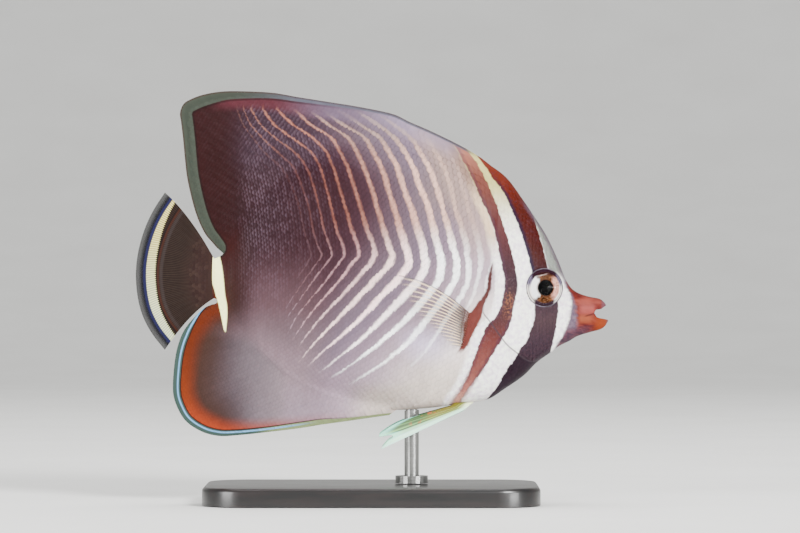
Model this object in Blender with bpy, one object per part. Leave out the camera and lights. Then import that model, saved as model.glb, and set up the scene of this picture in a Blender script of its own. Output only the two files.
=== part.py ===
"""A baroness butterflyfish at life size, held still on a small display stand.

Lengths are in millimetres here and become metres as each mesh is made. X runs from the tail to the
snout, Y across the fish and Z up. The origin is on the floor, under the middle of the fish's length.
The fish is cut from one whole body into head, jaws, torso and tail stalk, and its fins stand on it.
"""

import math

import bmesh
import bpy
from mathutils import Matrix, Vector

MM = 0.001
GAP = 0.3

# Flesh seen from the side: (x, z) along the back and along the belly, tail to snout
BACK_POINTS = (
    (-43.3, 66.9), (-41.0, 67.9), (-38.3, 72.3), (-33.4, 80.8), (-25.1, 89.9), (-14.2, 96.6),
    (-3.2, 100.2), (7.8, 101.4), (18.8, 99.4), (27.1, 95.9), (32.8, 92.5), (36.9, 89.4),
    (42.2, 82.3), (44.7, 78.6), (48.0, 73.4), (51.1, 66.9), (53.7, 60.6), (55.4, 58.4),
    (57.6, 57.2), (59.9, 56.5), (62.4, 56.0), (63.8, 55.2), (65.0, 53.6),
)
BELLY_POINTS = (
    (-43.3, 56.1), (-41.0, 55.0), (-38.3, 49.8), (-33.4, 42.1), (-25.1, 34.9), (-14.2, 29.7),
    (-3.2, 27.0), (7.8, 25.4), (15.5, 25.9), (23.2, 26.9), (31.5, 28.2), (37.2, 31.6),
    (41.9, 34.9), (45.5, 38.5), (49.1, 41.1), (51.5, 42.9), (54.3, 44.3), (56.5, 45.6),
    (59.9, 46.7), (62.8, 47.5), (64.2, 48.4), (65.0, 49.6),
)
# Half the fish's thickness along its length, and how high between belly and back it is thickest
HALF_WIDTH_POINTS = (
    (-43.3, 2.0), (-38.3, 2.9), (-33.4, 4.0), (-25.1, 5.6), (-14.2, 7.4), (-3.2, 8.7), (7.8, 9.6),
    (18.8, 10.2), (28.0, 10.4), (36.0, 9.9), (42.0, 8.8), (47.3, 7.2), (52.0, 5.5), (55.4, 4.2),
    (58.0, 3.3), (61.0, 2.7), (63.4, 2.1), (65.0, 1.2),
)
WIDEST_SHARE_POINTS = ((-43.3, 0.5), (0.0, 0.47), (28.0, 0.42), (40.0, 0.4), (48.0, 0.46), (65.0, 0.5))
# Half the width of the flat that the median fins stand on
EDGE_POINTS = ((-43.3, 0.8), (-30.0, 0.9), (32.0, 0.9), (40.0, 0.6), (55.0, 0.5), (65.0, 0.3))
BACK_SHARPNESS = 1.2
BELLY_SHARPNESS = 0.85
FAIRING_REACH = 4.0
SECTION_STEPS = 18
TORSO_STATIONS = 30
HEAD_STATIONS = 26
HEAD_STATIONS_START = 38.0

# Where the body is parted: the tail stalk, the gill opening, the jaws and the gape between them
STALK_END = -43.3
STALK_CUT = -38.6
SNOUT_END = 65.0
GILL_OPENING = (
    (37.8, 95.0), (36.1, 88.5), (34.0, 78.0), (32.6, 66.0), (30.9, 58.0), (30.3, 52.6), (32.3, 47.4),
    (38.6, 41.8), (45.2, 38.2), (49.0, 35.0),
)
JAW_CREASE = ((61.1, 52.1), (59.5, 49.8), (57.3, 48.0), (55.1, 46.7), (53.4, 43.2), (53.0, 38.0))
UPPER_JAW_EDGE = ((66.5, 55.2), (64.3, 54.8), (63.8, 53.7), (62.9, 53.1), (61.6, 52.9), (61.1, 52.1))
LOWER_JAW_EDGE = ((61.1, 52.1), (61.9, 50.9), (63.3, 50.5), (64.8, 50.3), (66.5, 50.3))
MUZZLE_CUT_TOP = (58.4, 60.0)

# How far the gill cover and the lips stand out, and where along the fish
GILL_FLARE = 0.5
GILL_FLARE_POINTS = ((-43.3, 0.0), (24.0, 0.0), (29.0, 1.0), (34.0, 1.0), (44.0, 0.0), (65.0, 0.0))
LIP_SWELL = 0.4
LIP_POINTS = ((-43.3, 0.0), (60.6, 0.0), (61.8, 0.35), (63.2, 1.0), (64.4, 1.0), (65.0, 0.5))

# Nostrils, as (x, z, radius)
NOSTRILS = ((52.3, 54.5, 0.45), (53.3, 55.9, 0.36))
NOSTRIL_DEPTH = 0.7

# Eyes: a flat dome outside and a deeper cup inside, turned a little forward
EYE_CENTRE = (47.3, 59.0)
EYE_RADIUS = 5.25
EYE_DOME = 1.6
EYE_CUP = 3.0
EYE_SUNK = 0.45
EYE_TURN = math.radians(16)
EYE_SEGMENTS = 20
EYE_RINGS = 10

# Median fins: margin outlines as (x, z) points
DORSAL_BASE_SPAN = (33.0, -40.6)
DORSAL_SPLIT_X = -8.8
DORSAL_SPINE_MARGIN = (
    (30.2, 94.6), (24.9, 97.8), (16.8, 101.8), (10.6, 104.5), (5.6, 106.8), (-4.0, 108.8), (-12.1, 110.1),
    (-20.4, 111.4),
)
DORSAL_RAY_MARGIN = (
    (-20.9, 111.5), (-27.4, 112.6), (-35.8, 113.0), (-41.4, 112.9), (-46.1, 112.1), (-49.5, 110.9),
    (-51.7, 109.5), (-52.7, 107.0), (-52.4, 104.5), (-51.8, 99.4), (-51.3, 94.0), (-50.7, 89.1),
    (-49.3, 82.8), (-47.8, 78.0), (-45.8, 73.8), (-43.9, 71.5), (-42.5, 69.9),
)
ANAL_BASE_SPAN = (7.2, -40.6)
ANAL_SPLIT_X = -3.2
ANAL_SPINE_MARGIN = ((5.4, 24.0), (1.0, 23.4), (-4.4, 22.6), (-9.4, 21.9), (-13.6, 21.3))
ANAL_RAY_MARGIN = (
    (-14.1, 21.3), (-19.3, 20.4), (-27.3, 19.4), (-36.8, 18.4), (-42.0, 18.2), (-46.7, 19.4),
    (-51.0, 22.2), (-53.4, 26.0), (-54.6, 30.2), (-54.4, 36.4), (-53.5, 42.2), (-51.6, 47.2),
    (-48.4, 51.2), (-46.0, 53.4), (-43.8, 54.4),
)
DORSAL_SPINES = 12
DORSAL_RAYS = 24
ANAL_SPINES = 3
ANAL_RAYS = 21
FIN_HALF_THICKNESS = 0.62
MARGIN_HALF_THICKNESS = 0.25
FIN_ROWS = 5

# Each ray or spine is a ridge raised in its fin's own surface, lower towards the margin
RIDGE_HEIGHT = 0.24
RIDGE_TIP_SHARE = 0.45
RIDGE_FOOT_SHARE = 0.3

# Tail fin: a fan from the stalk's end to a rounded rear margin
TAIL_BASE = ((-43.6, 66.6), (-43.6, 56.4))
TAIL_MARGIN = (
    (-57.0, 85.2), (-60.0, 80.6), (-62.4, 75.6), (-64.2, 69.6), (-65.0, 63.4), (-64.6, 57.0),
    (-63.2, 51.4), (-60.6, 46.4), (-57.0, 41.8),
)
TAIL_BASE_HALF_THICKNESS = 1.2
TAIL_RAYS = 17
TAIL_SWING = 2.6
TAIL_BOW = 1.6
TAIL_LENGTH = 21.0

# Paired fins, given for one side and mirrored to the other
BREAST_FIN_ROOT = ((26.9, 51.9), (24.7, 43.0))
BREAST_FIN_TIPS = ((7.4, 62.5), (8.6, 58.0), (11.6, 52.9), (16.6, 48.3), (21.8, 43.2))
BREAST_FIN_RAYS = 14
BREAST_FIN_BOW = 2.0
BREAST_FIN_SPREAD = 0.62
BREAST_FIN_CUP = 0.008
BREAST_FIN_ROOT_WIDTH = 2.6
BREAST_FIN_HALF_THICKNESS = 0.45
PELVIC_FIN_ROOT = ((28.0, 26.6), (22.9, 26.6))
PELVIC_FIN_TIPS = (
    (2.6, 14.9), (4.4, 17.0), (5.8, 18.0), (5.4, 18.7), (2.0, 18.4), (4.6, 20.6), (8.0, 22.4),
    (12.2, 23.8),
)
PELVIC_FIN_RAYS = 6
PELVIC_FIN_SIDE = 2.7
PELVIC_FIN_SPLAY = 0.2
PELVIC_FIN_HALF_THICKNESS = 0.6

# Display stand
BASE_LENGTH = 92.0
BASE_WIDTH = 54.0
BASE_THICKNESS = 5.0
BASE_CORNER = 12.0
BASE_ROUNDING = 1.2
ROD_X = 11.0
ROD_RADIUS = 2.0
ROD_TOP = 30.0
COLLAR_RADIUS = 4.5
COLLAR_HEIGHT = 2.0
ROD_SEGMENTS = 24

# Lines well clear of the fish, where the outlines that part it are closed
REACH = 40.0
ABOVE = 120.0
BELOW = 10.0
AHEAD = 66.5
BEHIND = -60.0


def profile(points):
    """A smooth height over x through a few points, with no overshoot between them."""
    xs = [point[0] for point in points]
    zs = [point[1] for point in points]
    slopes = [(z1 - z0) / (x1 - x0) for x0, x1, z0, z1 in zip(xs, xs[1:], zs, zs[1:])]
    middle = [0.0 if a * b <= 0 else 2 * a * b / (a + b) for a, b in zip(slopes, slopes[1:])]
    tangents = [slopes[0], *middle, slopes[-1]]

    def height(x):
        x = min(max(x, xs[0]), xs[-1])
        i = min(sum(x > knot for knot in xs[1:-1]), len(xs) - 2)
        step = xs[i + 1] - xs[i]
        t = (x - xs[i]) / step
        return (
            zs[i] * (1 + 2 * t) * (1 - t) ** 2
            + zs[i + 1] * t * t * (3 - 2 * t)
            + tangents[i] * step * t * (1 - t) ** 2
            - tangents[i + 1] * step * t * t * (1 - t)
        )

    return height


back = profile(BACK_POINTS)
belly = profile(BELLY_POINTS)
half_width = profile(HALF_WIDTH_POINTS)
widest_share = profile(WIDEST_SHARE_POINTS)
edge_half = profile(EDGE_POINTS)
gill_profile = profile(GILL_FLARE_POINTS)
lip_profile = profile(LIP_POINTS)


def gill_cover(x):
    return GILL_FLARE * gill_profile(x)


def lips(x):
    return LIP_SWELL * lip_profile(x)


def plain(x):
    return 0.0


def smooth_step(low, high, value):
    t = min(max((value - low) / (high - low), 0.0), 1.0)
    return t * t * (3 - 2 * t)


def fairing(x, z):
    """1 on the open flank, less towards the base of a median fin, so that flesh sweeps into the fin."""
    fair = 1.0
    for contour, base_span in ((back, DORSAL_BASE_SPAN), (belly, ANAL_BASE_SPAN)):
        slope = contour(x + 0.5) - contour(x - 0.5)
        away = abs(contour(x) - z) / math.hypot(1, slope)
        weight = smooth_step(base_span[0] + 7, base_span[0] - 5, x)
        fair *= 1 - weight * math.exp(-((away / FAIRING_REACH) ** 1.5))
    return fair


def section_point(x, angle, swell=plain):
    """Half width and height of the flesh at x, from the belly at -90 degrees to the back at 90."""
    high, low = back(x), belly(x)
    widest = low + widest_share(x) * (high - low)
    reach = high - widest if angle > 0 else widest - low
    sharpness = BACK_SHARPNESS if angle > 0 else BELLY_SHARPNESS
    fullness = max(math.cos(angle), 0.0) ** sharpness
    edge = edge_half(x)
    z = widest + reach * math.sin(angle)
    side = edge + (half_width(x) - edge + swell(x)) * fullness * fairing(x, z)
    return side, z


def flank(x, z):
    """Half width of the flesh at a place seen from the side."""
    high, low = back(x), belly(x)
    widest = low + widest_share(x) * (high - low)
    reach = high - widest if z > widest else widest - low
    return section_point(x, math.asin(min(max((z - widest) / reach, -1.0), 1.0)))[0]


def underside(x, side):
    """Height of the belly's surface at a distance to one side of the middle."""
    low, high = -math.pi / 2, 0.0
    for _ in range(30):
        middle = (low + high) / 2
        if section_point(x, middle)[0] < side:
            low = middle
        else:
            high = middle
    return section_point(x, low)[1]


def smooth_path(points, steps=10):
    """Close points along a smooth curve through the given (x, z) points."""
    knots = [Vector(point) for point in points]
    knots = [2 * knots[0] - knots[1], *knots, 2 * knots[-1] - knots[-2]]
    path = []
    for a, b, c, d in zip(knots, knots[1:], knots[2:], knots[3:]):
        for step in range(steps):
            t = step / steps
            bend = (2 * a - 5 * b + 4 * c - d) * t**2 + (3 * b - a - 3 * c + d) * t**3
            path.append((2 * b + (c - a) * t + bend) / 2)
    return [*path, knots[-2]]


def along(path, share):
    """The point a share of the way along a path, by length."""
    lengths = [(b - a).length for a, b in zip(path, path[1:])]
    left = share * sum(lengths)
    for start, end, length in zip(path, path[1:], lengths):
        if left <= length:
            return start.lerp(end, left / length)
        left -= length
    return path[-1]


def beside(points, distance):
    """The points of a line moved to its left, or to its right where distance is negative."""
    line = [Vector(point) for point in points]
    moved = []
    for i, point in enumerate(line):
        run = (line[min(i + 1, len(line) - 1)] - line[max(i - 1, 0)]).normalized()
        moved.append(point + Vector((-run.y, run.x)) * distance)
    return moved


def material(name, colour, roughness, metallic=0.0):
    made = bpy.data.materials.new(name)
    made.use_nodes = True
    shader = made.node_tree.nodes["Principled BSDF"]
    shader.inputs["Base Color"].default_value = (*colour, 1.0)
    shader.inputs["Roughness"].default_value = roughness
    shader.inputs["Metallic"].default_value = metallic
    return made


def new_object(name, bm, finish=None, sharp_angle=40):
    mesh = bpy.data.meshes.new(name)
    bm.to_mesh(mesh)
    bm.free()
    mesh.shade_smooth()
    mesh.set_sharp_from_angle(angle=math.radians(sharp_angle))
    if finish:
        mesh.materials.append(finish)
    made = bpy.data.objects.new(name, mesh)
    bpy.context.scene.collection.objects.link(made)
    return made


def combine(target, other, operation):
    """Applies one Boolean to the target and removes the other object."""
    modifier = target.modifiers.new(operation.title(), "BOOLEAN")
    modifier.operation = operation
    modifier.solver = "EXACT"
    modifier.object = other
    bpy.context.view_layer.objects.active = target
    bpy.ops.object.modifier_apply(modifier=modifier.name)
    bpy.data.objects.remove(other)
    return target


def fuse(target, pieces):
    """One union of the target with a collection of closed pieces, which are then removed."""
    group = bpy.data.collections.new(f"{target.name}_pieces")
    bpy.context.scene.collection.children.link(group)
    for piece in pieces:
        group.objects.link(piece)
    modifier = target.modifiers.new("Union", "BOOLEAN")
    modifier.operation = "UNION"
    modifier.solver = "EXACT"
    modifier.operand_type = "COLLECTION"
    modifier.collection = group
    bpy.context.view_layer.objects.active = target
    bpy.ops.object.modifier_apply(modifier=modifier.name)
    for piece in pieces:
        bpy.data.objects.remove(piece)
    bpy.data.collections.remove(group)
    return target


def keep_largest(target):
    """Removes every loose scrap but the largest closed surface."""
    bm = bmesh.new()
    bm.from_mesh(target.data)
    left = set(bm.verts)
    shells = []
    while left:
        shell, front = set(), [left.pop()]
        while front:
            vertex = front.pop()
            shell.add(vertex)
            near = [edge.other_vert(vertex) for edge in vertex.link_edges]
            found = [other for other in near if other in left]
            left.difference_update(found)
            front.extend(found)
        shells.append(shell)
    largest = max(shells, key=len)
    scraps = [vertex for shell in shells if shell is not largest for vertex in shell]
    bmesh.ops.delete(bm, geom=scraps, context="VERTS")
    bm.to_mesh(target.data)
    bm.free()
    return target


def whole_body(name, finish, swell=plain, growth=0.0):
    """The flesh from tail stalk to snout, lofted through sections across the fish."""
    bm = bmesh.new()
    torso_run = HEAD_STATIONS_START - STALK_END
    head_run = SNOUT_END - HEAD_STATIONS_START
    stations = [STALK_END + torso_run * i / TORSO_STATIONS for i in range(TORSO_STATIONS)]
    stations += [HEAD_STATIONS_START + head_run * i / HEAD_STATIONS for i in range(HEAD_STATIONS + 1)]
    angles = [math.pi * (i / SECTION_STEPS - 0.5) for i in range(SECTION_STEPS + 1)]
    rings = []
    for x in stations:
        near = [section_point(x, angle, swell) for angle in angles]
        outline = [(-side, z) for side, z in near] + [(side, z) for side, z in reversed(near)]
        rings.append([bm.verts.new((x * MM, y * MM, z * MM)) for y, z in outline])
    for ring, following in zip(rings, rings[1:]):
        for i in range(len(ring)):
            j = (i + 1) % len(ring)
            bm.faces.new((ring[i], ring[j], following[j], following[i]))
    bm.faces.new(rings[0])
    bm.faces.new(rings[-1])
    bmesh.ops.recalc_face_normals(bm, faces=bm.faces)
    if growth:
        bm.normal_update()
        for vertex, normal in [(v, v.normal.copy()) for v in bm.verts]:
            vertex.co += normal * growth * MM
    return new_object(name, bm, finish)


def prism(name, outline):
    """A block across the whole fish, with the given outline as seen from the side."""
    bm = bmesh.new()
    face = bm.faces.new([bm.verts.new((x * MM, -REACH * MM, z * MM)) for x, z in outline])
    grown = bmesh.ops.extrude_face_region(bm, geom=[face])["geom"]
    moved = [item for item in grown if isinstance(item, bmesh.types.BMVert)]
    bmesh.ops.translate(bm, verts=moved, vec=(0, 2 * REACH * MM, 0))
    bmesh.ops.recalc_face_normals(bm, faces=bm.faces)
    return new_object(name, bm)


def body_part(name, outline, finish, swell=plain):
    """The stretch of the whole body that lies inside an outline seen from the side."""
    part = whole_body(name, finish, swell)
    return keep_largest(combine(part, prism(f"{name}_region", outline), "INTERSECT"))


def eye_matrix(side):
    """Places an eye that is modelled facing -Y: side is -1 on the fish's right and 1 on its left."""
    x, z = EYE_CENTRE
    surface = Vector((x, -flank(x, z), z))
    facing = Vector((math.sin(EYE_TURN), -math.cos(EYE_TURN), 0))
    centre = surface - facing * EYE_SUNK
    turned = Matrix.Translation(centre) @ Matrix.Rotation(EYE_TURN, 4, "Z")
    return turned if side < 0 else Matrix.Scale(-1, 4, Vector((0, 1, 0))) @ turned


def eyeball(name, side, finish=None, growth=0.0):
    bm = bmesh.new()
    bmesh.ops.create_uvsphere(bm, u_segments=EYE_SEGMENTS, v_segments=EYE_RINGS, radius=1.0)
    bmesh.ops.rotate(bm, verts=bm.verts, matrix=Matrix.Rotation(math.pi / 2, 3, "X"))
    for vertex in bm.verts:
        depth = EYE_DOME if vertex.co.y < 0 else EYE_CUP
        vertex.co.y *= depth + growth
        vertex.co.x *= EYE_RADIUS + growth
        vertex.co.z *= EYE_RADIUS + growth
    bmesh.ops.transform(bm, matrix=Matrix.Scale(MM, 4) @ eye_matrix(side), verts=bm.verts)
    bmesh.ops.recalc_face_normals(bm, faces=bm.faces)
    return new_object(name, bm, finish)


def nostril(x, z, radius, side):
    """A small ball, half sunk in the flank in front of the eye, to cut one nostril."""
    bm = bmesh.new()
    bmesh.ops.create_icosphere(bm, subdivisions=1, radius=radius * MM)
    bmesh.ops.scale(bm, verts=bm.verts, vec=(1, NOSTRIL_DEPTH / radius, 1))
    bmesh.ops.translate(bm, verts=bm.verts, vec=(x * MM, side * flank(x, z) * MM, z * MM))
    return new_object("nostril", bm)


def ridged_shares(count):
    """Places along a fin's base and how much of a ridge stands at each, for evenly set rays."""
    places = [(0.0, 0.0)]
    for i in range(count):
        middle = (i + 0.5) / count
        foot = RIDGE_FOOT_SHARE / count
        places += [(middle - foot, 0.0), (middle, 1.0), (middle + foot, 0.0)]
    return [*places, (1.0, 0.0)]


def half_thickness(root_half, ridge, t):
    """Half a fin's thickness a share t of the way out, on the web or on top of a ray's ridge."""
    web = root_half + (MARGIN_HALF_THICKNESS - root_half) * t
    return web + ridge * RIDGE_HEIGHT * (1 + (RIDGE_TIP_SHARE - 1) * t)


def fin_grid(name, centres, normals, halves, finish, root=None):
    """A thin closed plate from a grid of centre points, alike on both faces.

    centres, normals and halves run column by column, each from root to tip. root gives the first
    row's two points of each column where they lie on the body's own surface.
    """
    bm = bmesh.new()
    columns, rows = len(centres), len(centres[0])
    faces = []
    for sign in (1, -1):
        grid = []
        for i in range(columns):
            column = [centres[i][j] + normals[i][j] * halves[i][j] * sign for j in range(rows)]
            if root:
                column[0] = root[i][0 if sign > 0 else 1]
            grid.append([bm.verts.new(point * MM) for point in column])
        faces.append(grid)
    front, rear = faces
    for i in range(columns - 1):
        for j in range(rows - 1):
            for a, b, c in ((0, 1, 2), (0, 2, 3)):
                corners = ((i, j), (i + 1, j), (i + 1, j + 1), (i, j + 1))
                picked = [corners[a], corners[b], corners[c]]
                bm.faces.new([front[p][q] for p, q in picked])
                bm.faces.new([rear[p][q] for p, q in reversed(picked)])
    rim = [(i, 0) for i in range(columns)] + [(columns - 1, j) for j in range(1, rows)]
    rim += [(i, rows - 1) for i in range(columns - 2, -1, -1)] + [(0, j) for j in range(rows - 2, 0, -1)]
    for (p, q), (r, s) in zip(rim, rim[1:] + rim[:1]):
        bm.faces.new((front[p][q], rear[p][q], rear[r][s]))
        bm.faces.new((front[p][q], rear[r][s], front[r][s]))
    bmesh.ops.recalc_face_normals(bm, faces=bm.faces)
    return new_object(name, bm, finish, sharp_angle=50)


def median_fin(name, base, margin, count, finish, base_half=FIN_HALF_THICKNESS, swing=0.0, bow=0.0):
    """A fin in the fish's middle plane from a base line to a margin, swung left and bowed upwards."""
    centres, halves = [], []
    for share, ridge in ridged_shares(count):
        foot, tip = along(base, share), along(margin, share)
        steps = [j / (FIN_ROWS - 1) for j in range(FIN_ROWS)]
        column = [foot.lerp(tip, t) + Vector((0, bow * 4 * t * (1 - t))) for t in steps]
        aside = [swing * (point - foot).length / TAIL_LENGTH for point in column]
        centres.append([Vector((point.x, y, point.y)) for point, y in zip(column, aside)])
        halves.append([half_thickness(base_half, ridge, t) for t in steps])
    across = [[Vector((0, -1, 0))] * FIN_ROWS for _ in centres]
    return fin_grid(name, centres, across, halves, finish)


def base_line(contour, start, end, distance):
    """The back or belly contour between two places, kept a gap away from the flesh."""
    steps = 40
    line = [(start + (end - start) * i / steps) for i in range(steps + 1)]
    return beside([(x, contour(x)) for x in line], distance)


def dorsal_and_anal_fins(finish):
    half_gap = GAP / 2
    plans = (
        ("dorsal_fin_spines", back, DORSAL_BASE_SPAN[0], DORSAL_SPLIT_X + half_gap, DORSAL_SPINE_MARGIN, -GAP,
         DORSAL_SPINES),
        ("dorsal_fin_rays", back, DORSAL_SPLIT_X - half_gap, DORSAL_BASE_SPAN[1], DORSAL_RAY_MARGIN, -GAP,
         DORSAL_RAYS),
        ("anal_fin_spines", belly, ANAL_BASE_SPAN[0], ANAL_SPLIT_X + half_gap, ANAL_SPINE_MARGIN, GAP,
         ANAL_SPINES),
        ("anal_fin_rays", belly, ANAL_SPLIT_X - half_gap, ANAL_BASE_SPAN[1], ANAL_RAY_MARGIN, GAP, ANAL_RAYS),
    )
    for name, contour, start, end, margin, distance, count in plans:
        median_fin(name, base_line(contour, start, end, distance), smooth_path(margin), count, finish)


def breast_fin(name, side, finish):
    """A fin on the flank that fans back and stands out from it."""
    rows = FIN_ROWS
    root_line = [Vector(point) for point in BREAST_FIN_ROOT]
    tips = smooth_path(BREAST_FIN_TIPS)
    outward = math.atan(BREAST_FIN_SPREAD)
    normal = Vector((math.sin(outward), -math.cos(outward), 0))
    centres, normals, halves, roots = [], [], [], []
    for share, ridge in ridged_shares(BREAST_FIN_RAYS):
        foot, tip = root_line[0].lerp(root_line[1], share), along(tips, share)
        stand = flank(foot.x, foot.y) + GAP
        column, thick = [], []
        for j in range(rows):
            t = j / (rows - 1)
            place = foot.lerp(tip, t) + Vector((0, BREAST_FIN_BOW * (1 - share) * 4 * t * (1 - t)))
            run = max(foot.x - place.x, 0)
            out = stand + BREAST_FIN_SPREAD * run - BREAST_FIN_CUP * run * run
            column.append(Vector((place.x, -out, place.y)))
            thick.append(half_thickness(BREAST_FIN_HALF_THICKNESS, ridge, t))
        centres.append(column)
        normals.append([normal] * rows)
        halves.append(thick)
        ends = [foot.x + BREAST_FIN_ROOT_WIDTH / 2, foot.x - BREAST_FIN_ROOT_WIDTH / 2]
        roots.append([Vector((x, -flank(x, foot.y) - GAP, foot.y)) for x in ends])
    return mirrored(fin_grid(name, centres, normals, halves, finish, roots), side)


def pelvic_fin(name, side, finish):
    """A fin under the breast that trails back and down."""
    rows = FIN_ROWS + 1
    root_line = [Vector(point) for point in PELVIC_FIN_ROOT]
    tips = smooth_path(PELVIC_FIN_TIPS)
    centres, normals, halves, roots = [], [], [], []
    for share, ridge in ridged_shares(PELVIC_FIN_RAYS):
        foot, tip = root_line[0].lerp(root_line[1], share), along(tips, share)
        column, thick = [], []
        for j in range(rows):
            t = j / (rows - 1)
            place = foot.lerp(tip, t)
            out = PELVIC_FIN_SIDE + PELVIC_FIN_SPLAY * (foot - place).length
            column.append(Vector((place.x, -out, place.y)))
            thick.append(half_thickness(PELVIC_FIN_HALF_THICKNESS, ridge, t))
        centres.append(column)
        normals.append([Vector((0, -1, 0))] * rows)
        halves.append(thick)
        widths = [PELVIC_FIN_SIDE + PELVIC_FIN_HALF_THICKNESS, PELVIC_FIN_SIDE - PELVIC_FIN_HALF_THICKNESS]
        roots.append([Vector((foot.x, -y, underside(foot.x, y) - GAP)) for y in widths])
    return mirrored(fin_grid(name, centres, normals, halves, finish, roots), side)


def mirrored(made, side):
    """Leaves a piece on the fish's right, or turns it to the left with its faces still outwards."""
    if side > 0:
        made.data.transform(Matrix.Scale(-1, 4, Vector((0, 1, 0))))
        made.data.flip_normals()
    return made


def round_bar(name, x, low, high, radius, finish=None):
    bm = bmesh.new()
    bmesh.ops.create_cone(
        bm, segments=ROD_SEGMENTS, radius1=radius * MM, radius2=radius * MM, depth=(high - low) * MM,
        cap_ends=True, cap_tris=False,
    )
    bmesh.ops.translate(bm, verts=bm.verts, vec=(x * MM, 0, (low + high) / 2 * MM))
    return new_object(name, bm, finish)


def display_stand(base_finish, rod_finish):
    bm = bmesh.new()
    bmesh.ops.create_cube(bm, size=1.0)
    bmesh.ops.scale(bm, verts=bm.verts, vec=(BASE_LENGTH * MM, BASE_WIDTH * MM, BASE_THICKNESS * MM))
    bmesh.ops.translate(bm, verts=bm.verts, vec=(0, 0, BASE_THICKNESS / 2 * MM))
    upright = [edge for edge in bm.edges if abs(edge.verts[0].co.z - edge.verts[1].co.z) > MM]
    bmesh.ops.bevel(bm, geom=upright, offset=BASE_CORNER * MM, segments=6, profile=0.5, affect="EDGES")
    lid = [face for face in bm.faces if face.normal.z > 0.9]
    rim = list({edge for face in lid for edge in face.edges})
    bmesh.ops.bevel(bm, geom=rim, offset=BASE_ROUNDING * MM, segments=2, profile=0.5, affect="EDGES")
    new_object("stand_base", bm, base_finish, sharp_angle=30)
    foot = BASE_THICKNESS + GAP
    rod = round_bar("stand_rod", ROD_X, foot, ROD_TOP, ROD_RADIUS, rod_finish)
    fuse(rod, [round_bar("collar", ROD_X, foot, foot + COLLAR_HEIGHT, COLLAR_RADIUS)])
    keep_largest(combine(rod, whole_body("belly_room", None, growth=GAP), "DIFFERENCE"))


def body_parts(flesh, snout):
    """Parts the whole body at the tail stalk, the gill opening and the jaws."""
    half_gap = GAP / 2
    gill = smooth_path(GILL_OPENING, 6)
    behind = beside(gill, -half_gap)
    ahead = beside(gill, half_gap)
    crease = smooth_path(JAW_CREASE, 4)
    over_crease = beside(crease, -half_gap)
    under_crease = beside(crease, half_gap)
    roof = smooth_path(UPPER_JAW_EDGE, 4)
    floor = smooth_path(LOWER_JAW_EDGE, 4)
    cheek = Vector(JAW_CREASE[1])
    muzzle_top = Vector(MUZZLE_CUT_TOP)

    stalk_end = STALK_CUT - half_gap
    body_part("tail_stalk", [(BEHIND, BELOW), (stalk_end, BELOW), (stalk_end, ABOVE), (BEHIND, ABOVE)], flesh)
    torso_start = STALK_CUT + half_gap
    below_gill = (behind[-1].x, BELOW)
    above_gill = (behind[0].x, ABOVE)
    outline = [(torso_start, BELOW), below_gill, *reversed(behind), above_gill, (torso_start, ABOVE)]
    body_part("torso", outline, flesh)
    after_cheek = [point for point in over_crease if point.x < cheek.x]
    rear = [cheek - Vector((half_gap, -half_gap)), muzzle_top - Vector((half_gap, 0))]
    outline = [*ahead, *reversed(after_cheek), *rear, (rear[-1].x, ABOVE)]
    head = body_part("head", outline, flesh, gill_cover)
    before_cheek = [point for point in over_crease if point.x > cheek.x]
    fore = [cheek + Vector((half_gap, half_gap)), muzzle_top + Vector((half_gap, 0))]
    body_part("upper_jaw", [*roof[:-1], *before_cheek, *fore, (AHEAD, muzzle_top.y)], snout, lips)
    body_part("lower_jaw", [*reversed(under_crease), *floor[1:], (AHEAD, under_crease[-1].y)], snout, lips)
    return head


def main():
    for stale in list(bpy.data.objects):
        bpy.data.objects.remove(stale)
    flesh = material("scaled skin", (0.55, 0.47, 0.5), 0.45)
    snout = material("red snout", (0.62, 0.2, 0.13), 0.4)
    fin = material("fin", (0.42, 0.3, 0.3), 0.5)
    clear_fin = material("clear fin", (0.7, 0.7, 0.62), 0.4)
    eye = material("eye", (0.35, 0.17, 0.07), 0.1)
    base = material("dark base", (0.03, 0.03, 0.032), 0.35)
    steel = material("brushed steel", (0.6, 0.6, 0.6), 0.3, 1.0)

    head = body_parts(flesh, snout)
    for side, word in ((-1, "right"), (1, "left")):
        eyeball(f"eye_{word}", side, eye)
        combine(head, eyeball(f"socket_{word}", side, growth=GAP), "DIFFERENCE")
        for x, z, radius in NOSTRILS:
            combine(head, nostril(x, z, radius, side), "DIFFERENCE")
        breast_fin(f"pectoral_fin_{word}", side, clear_fin)
        pelvic_fin(f"pelvic_fin_{word}", side, clear_fin)
    keep_largest(head)
    dorsal_and_anal_fins(fin)
    tail_base = [Vector(point) for point in TAIL_BASE]
    tail_margin = smooth_path(TAIL_MARGIN)
    median_fin(
        "tail_fin", tail_base, tail_margin, TAIL_RAYS, fin, TAIL_BASE_HALF_THICKNESS, TAIL_SWING, TAIL_BOW
    )
    display_stand(base, steel)


main()
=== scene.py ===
"""The finish of a baroness butterflyfish model: skin, scales, fins, eyes and its display stand.

Lengths are in millimetres and become metres as each mesh is made. X runs from tail to snout, Y to the
fish's left and Z up. The skin is one lofted surface with the median fins and the tail grown out of it,
and every marking is painted by its place on the fish, on the skin and on the scales alike.
"""

import math

import bpy
import numpy as np
from mathutils import Matrix, Vector


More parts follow.
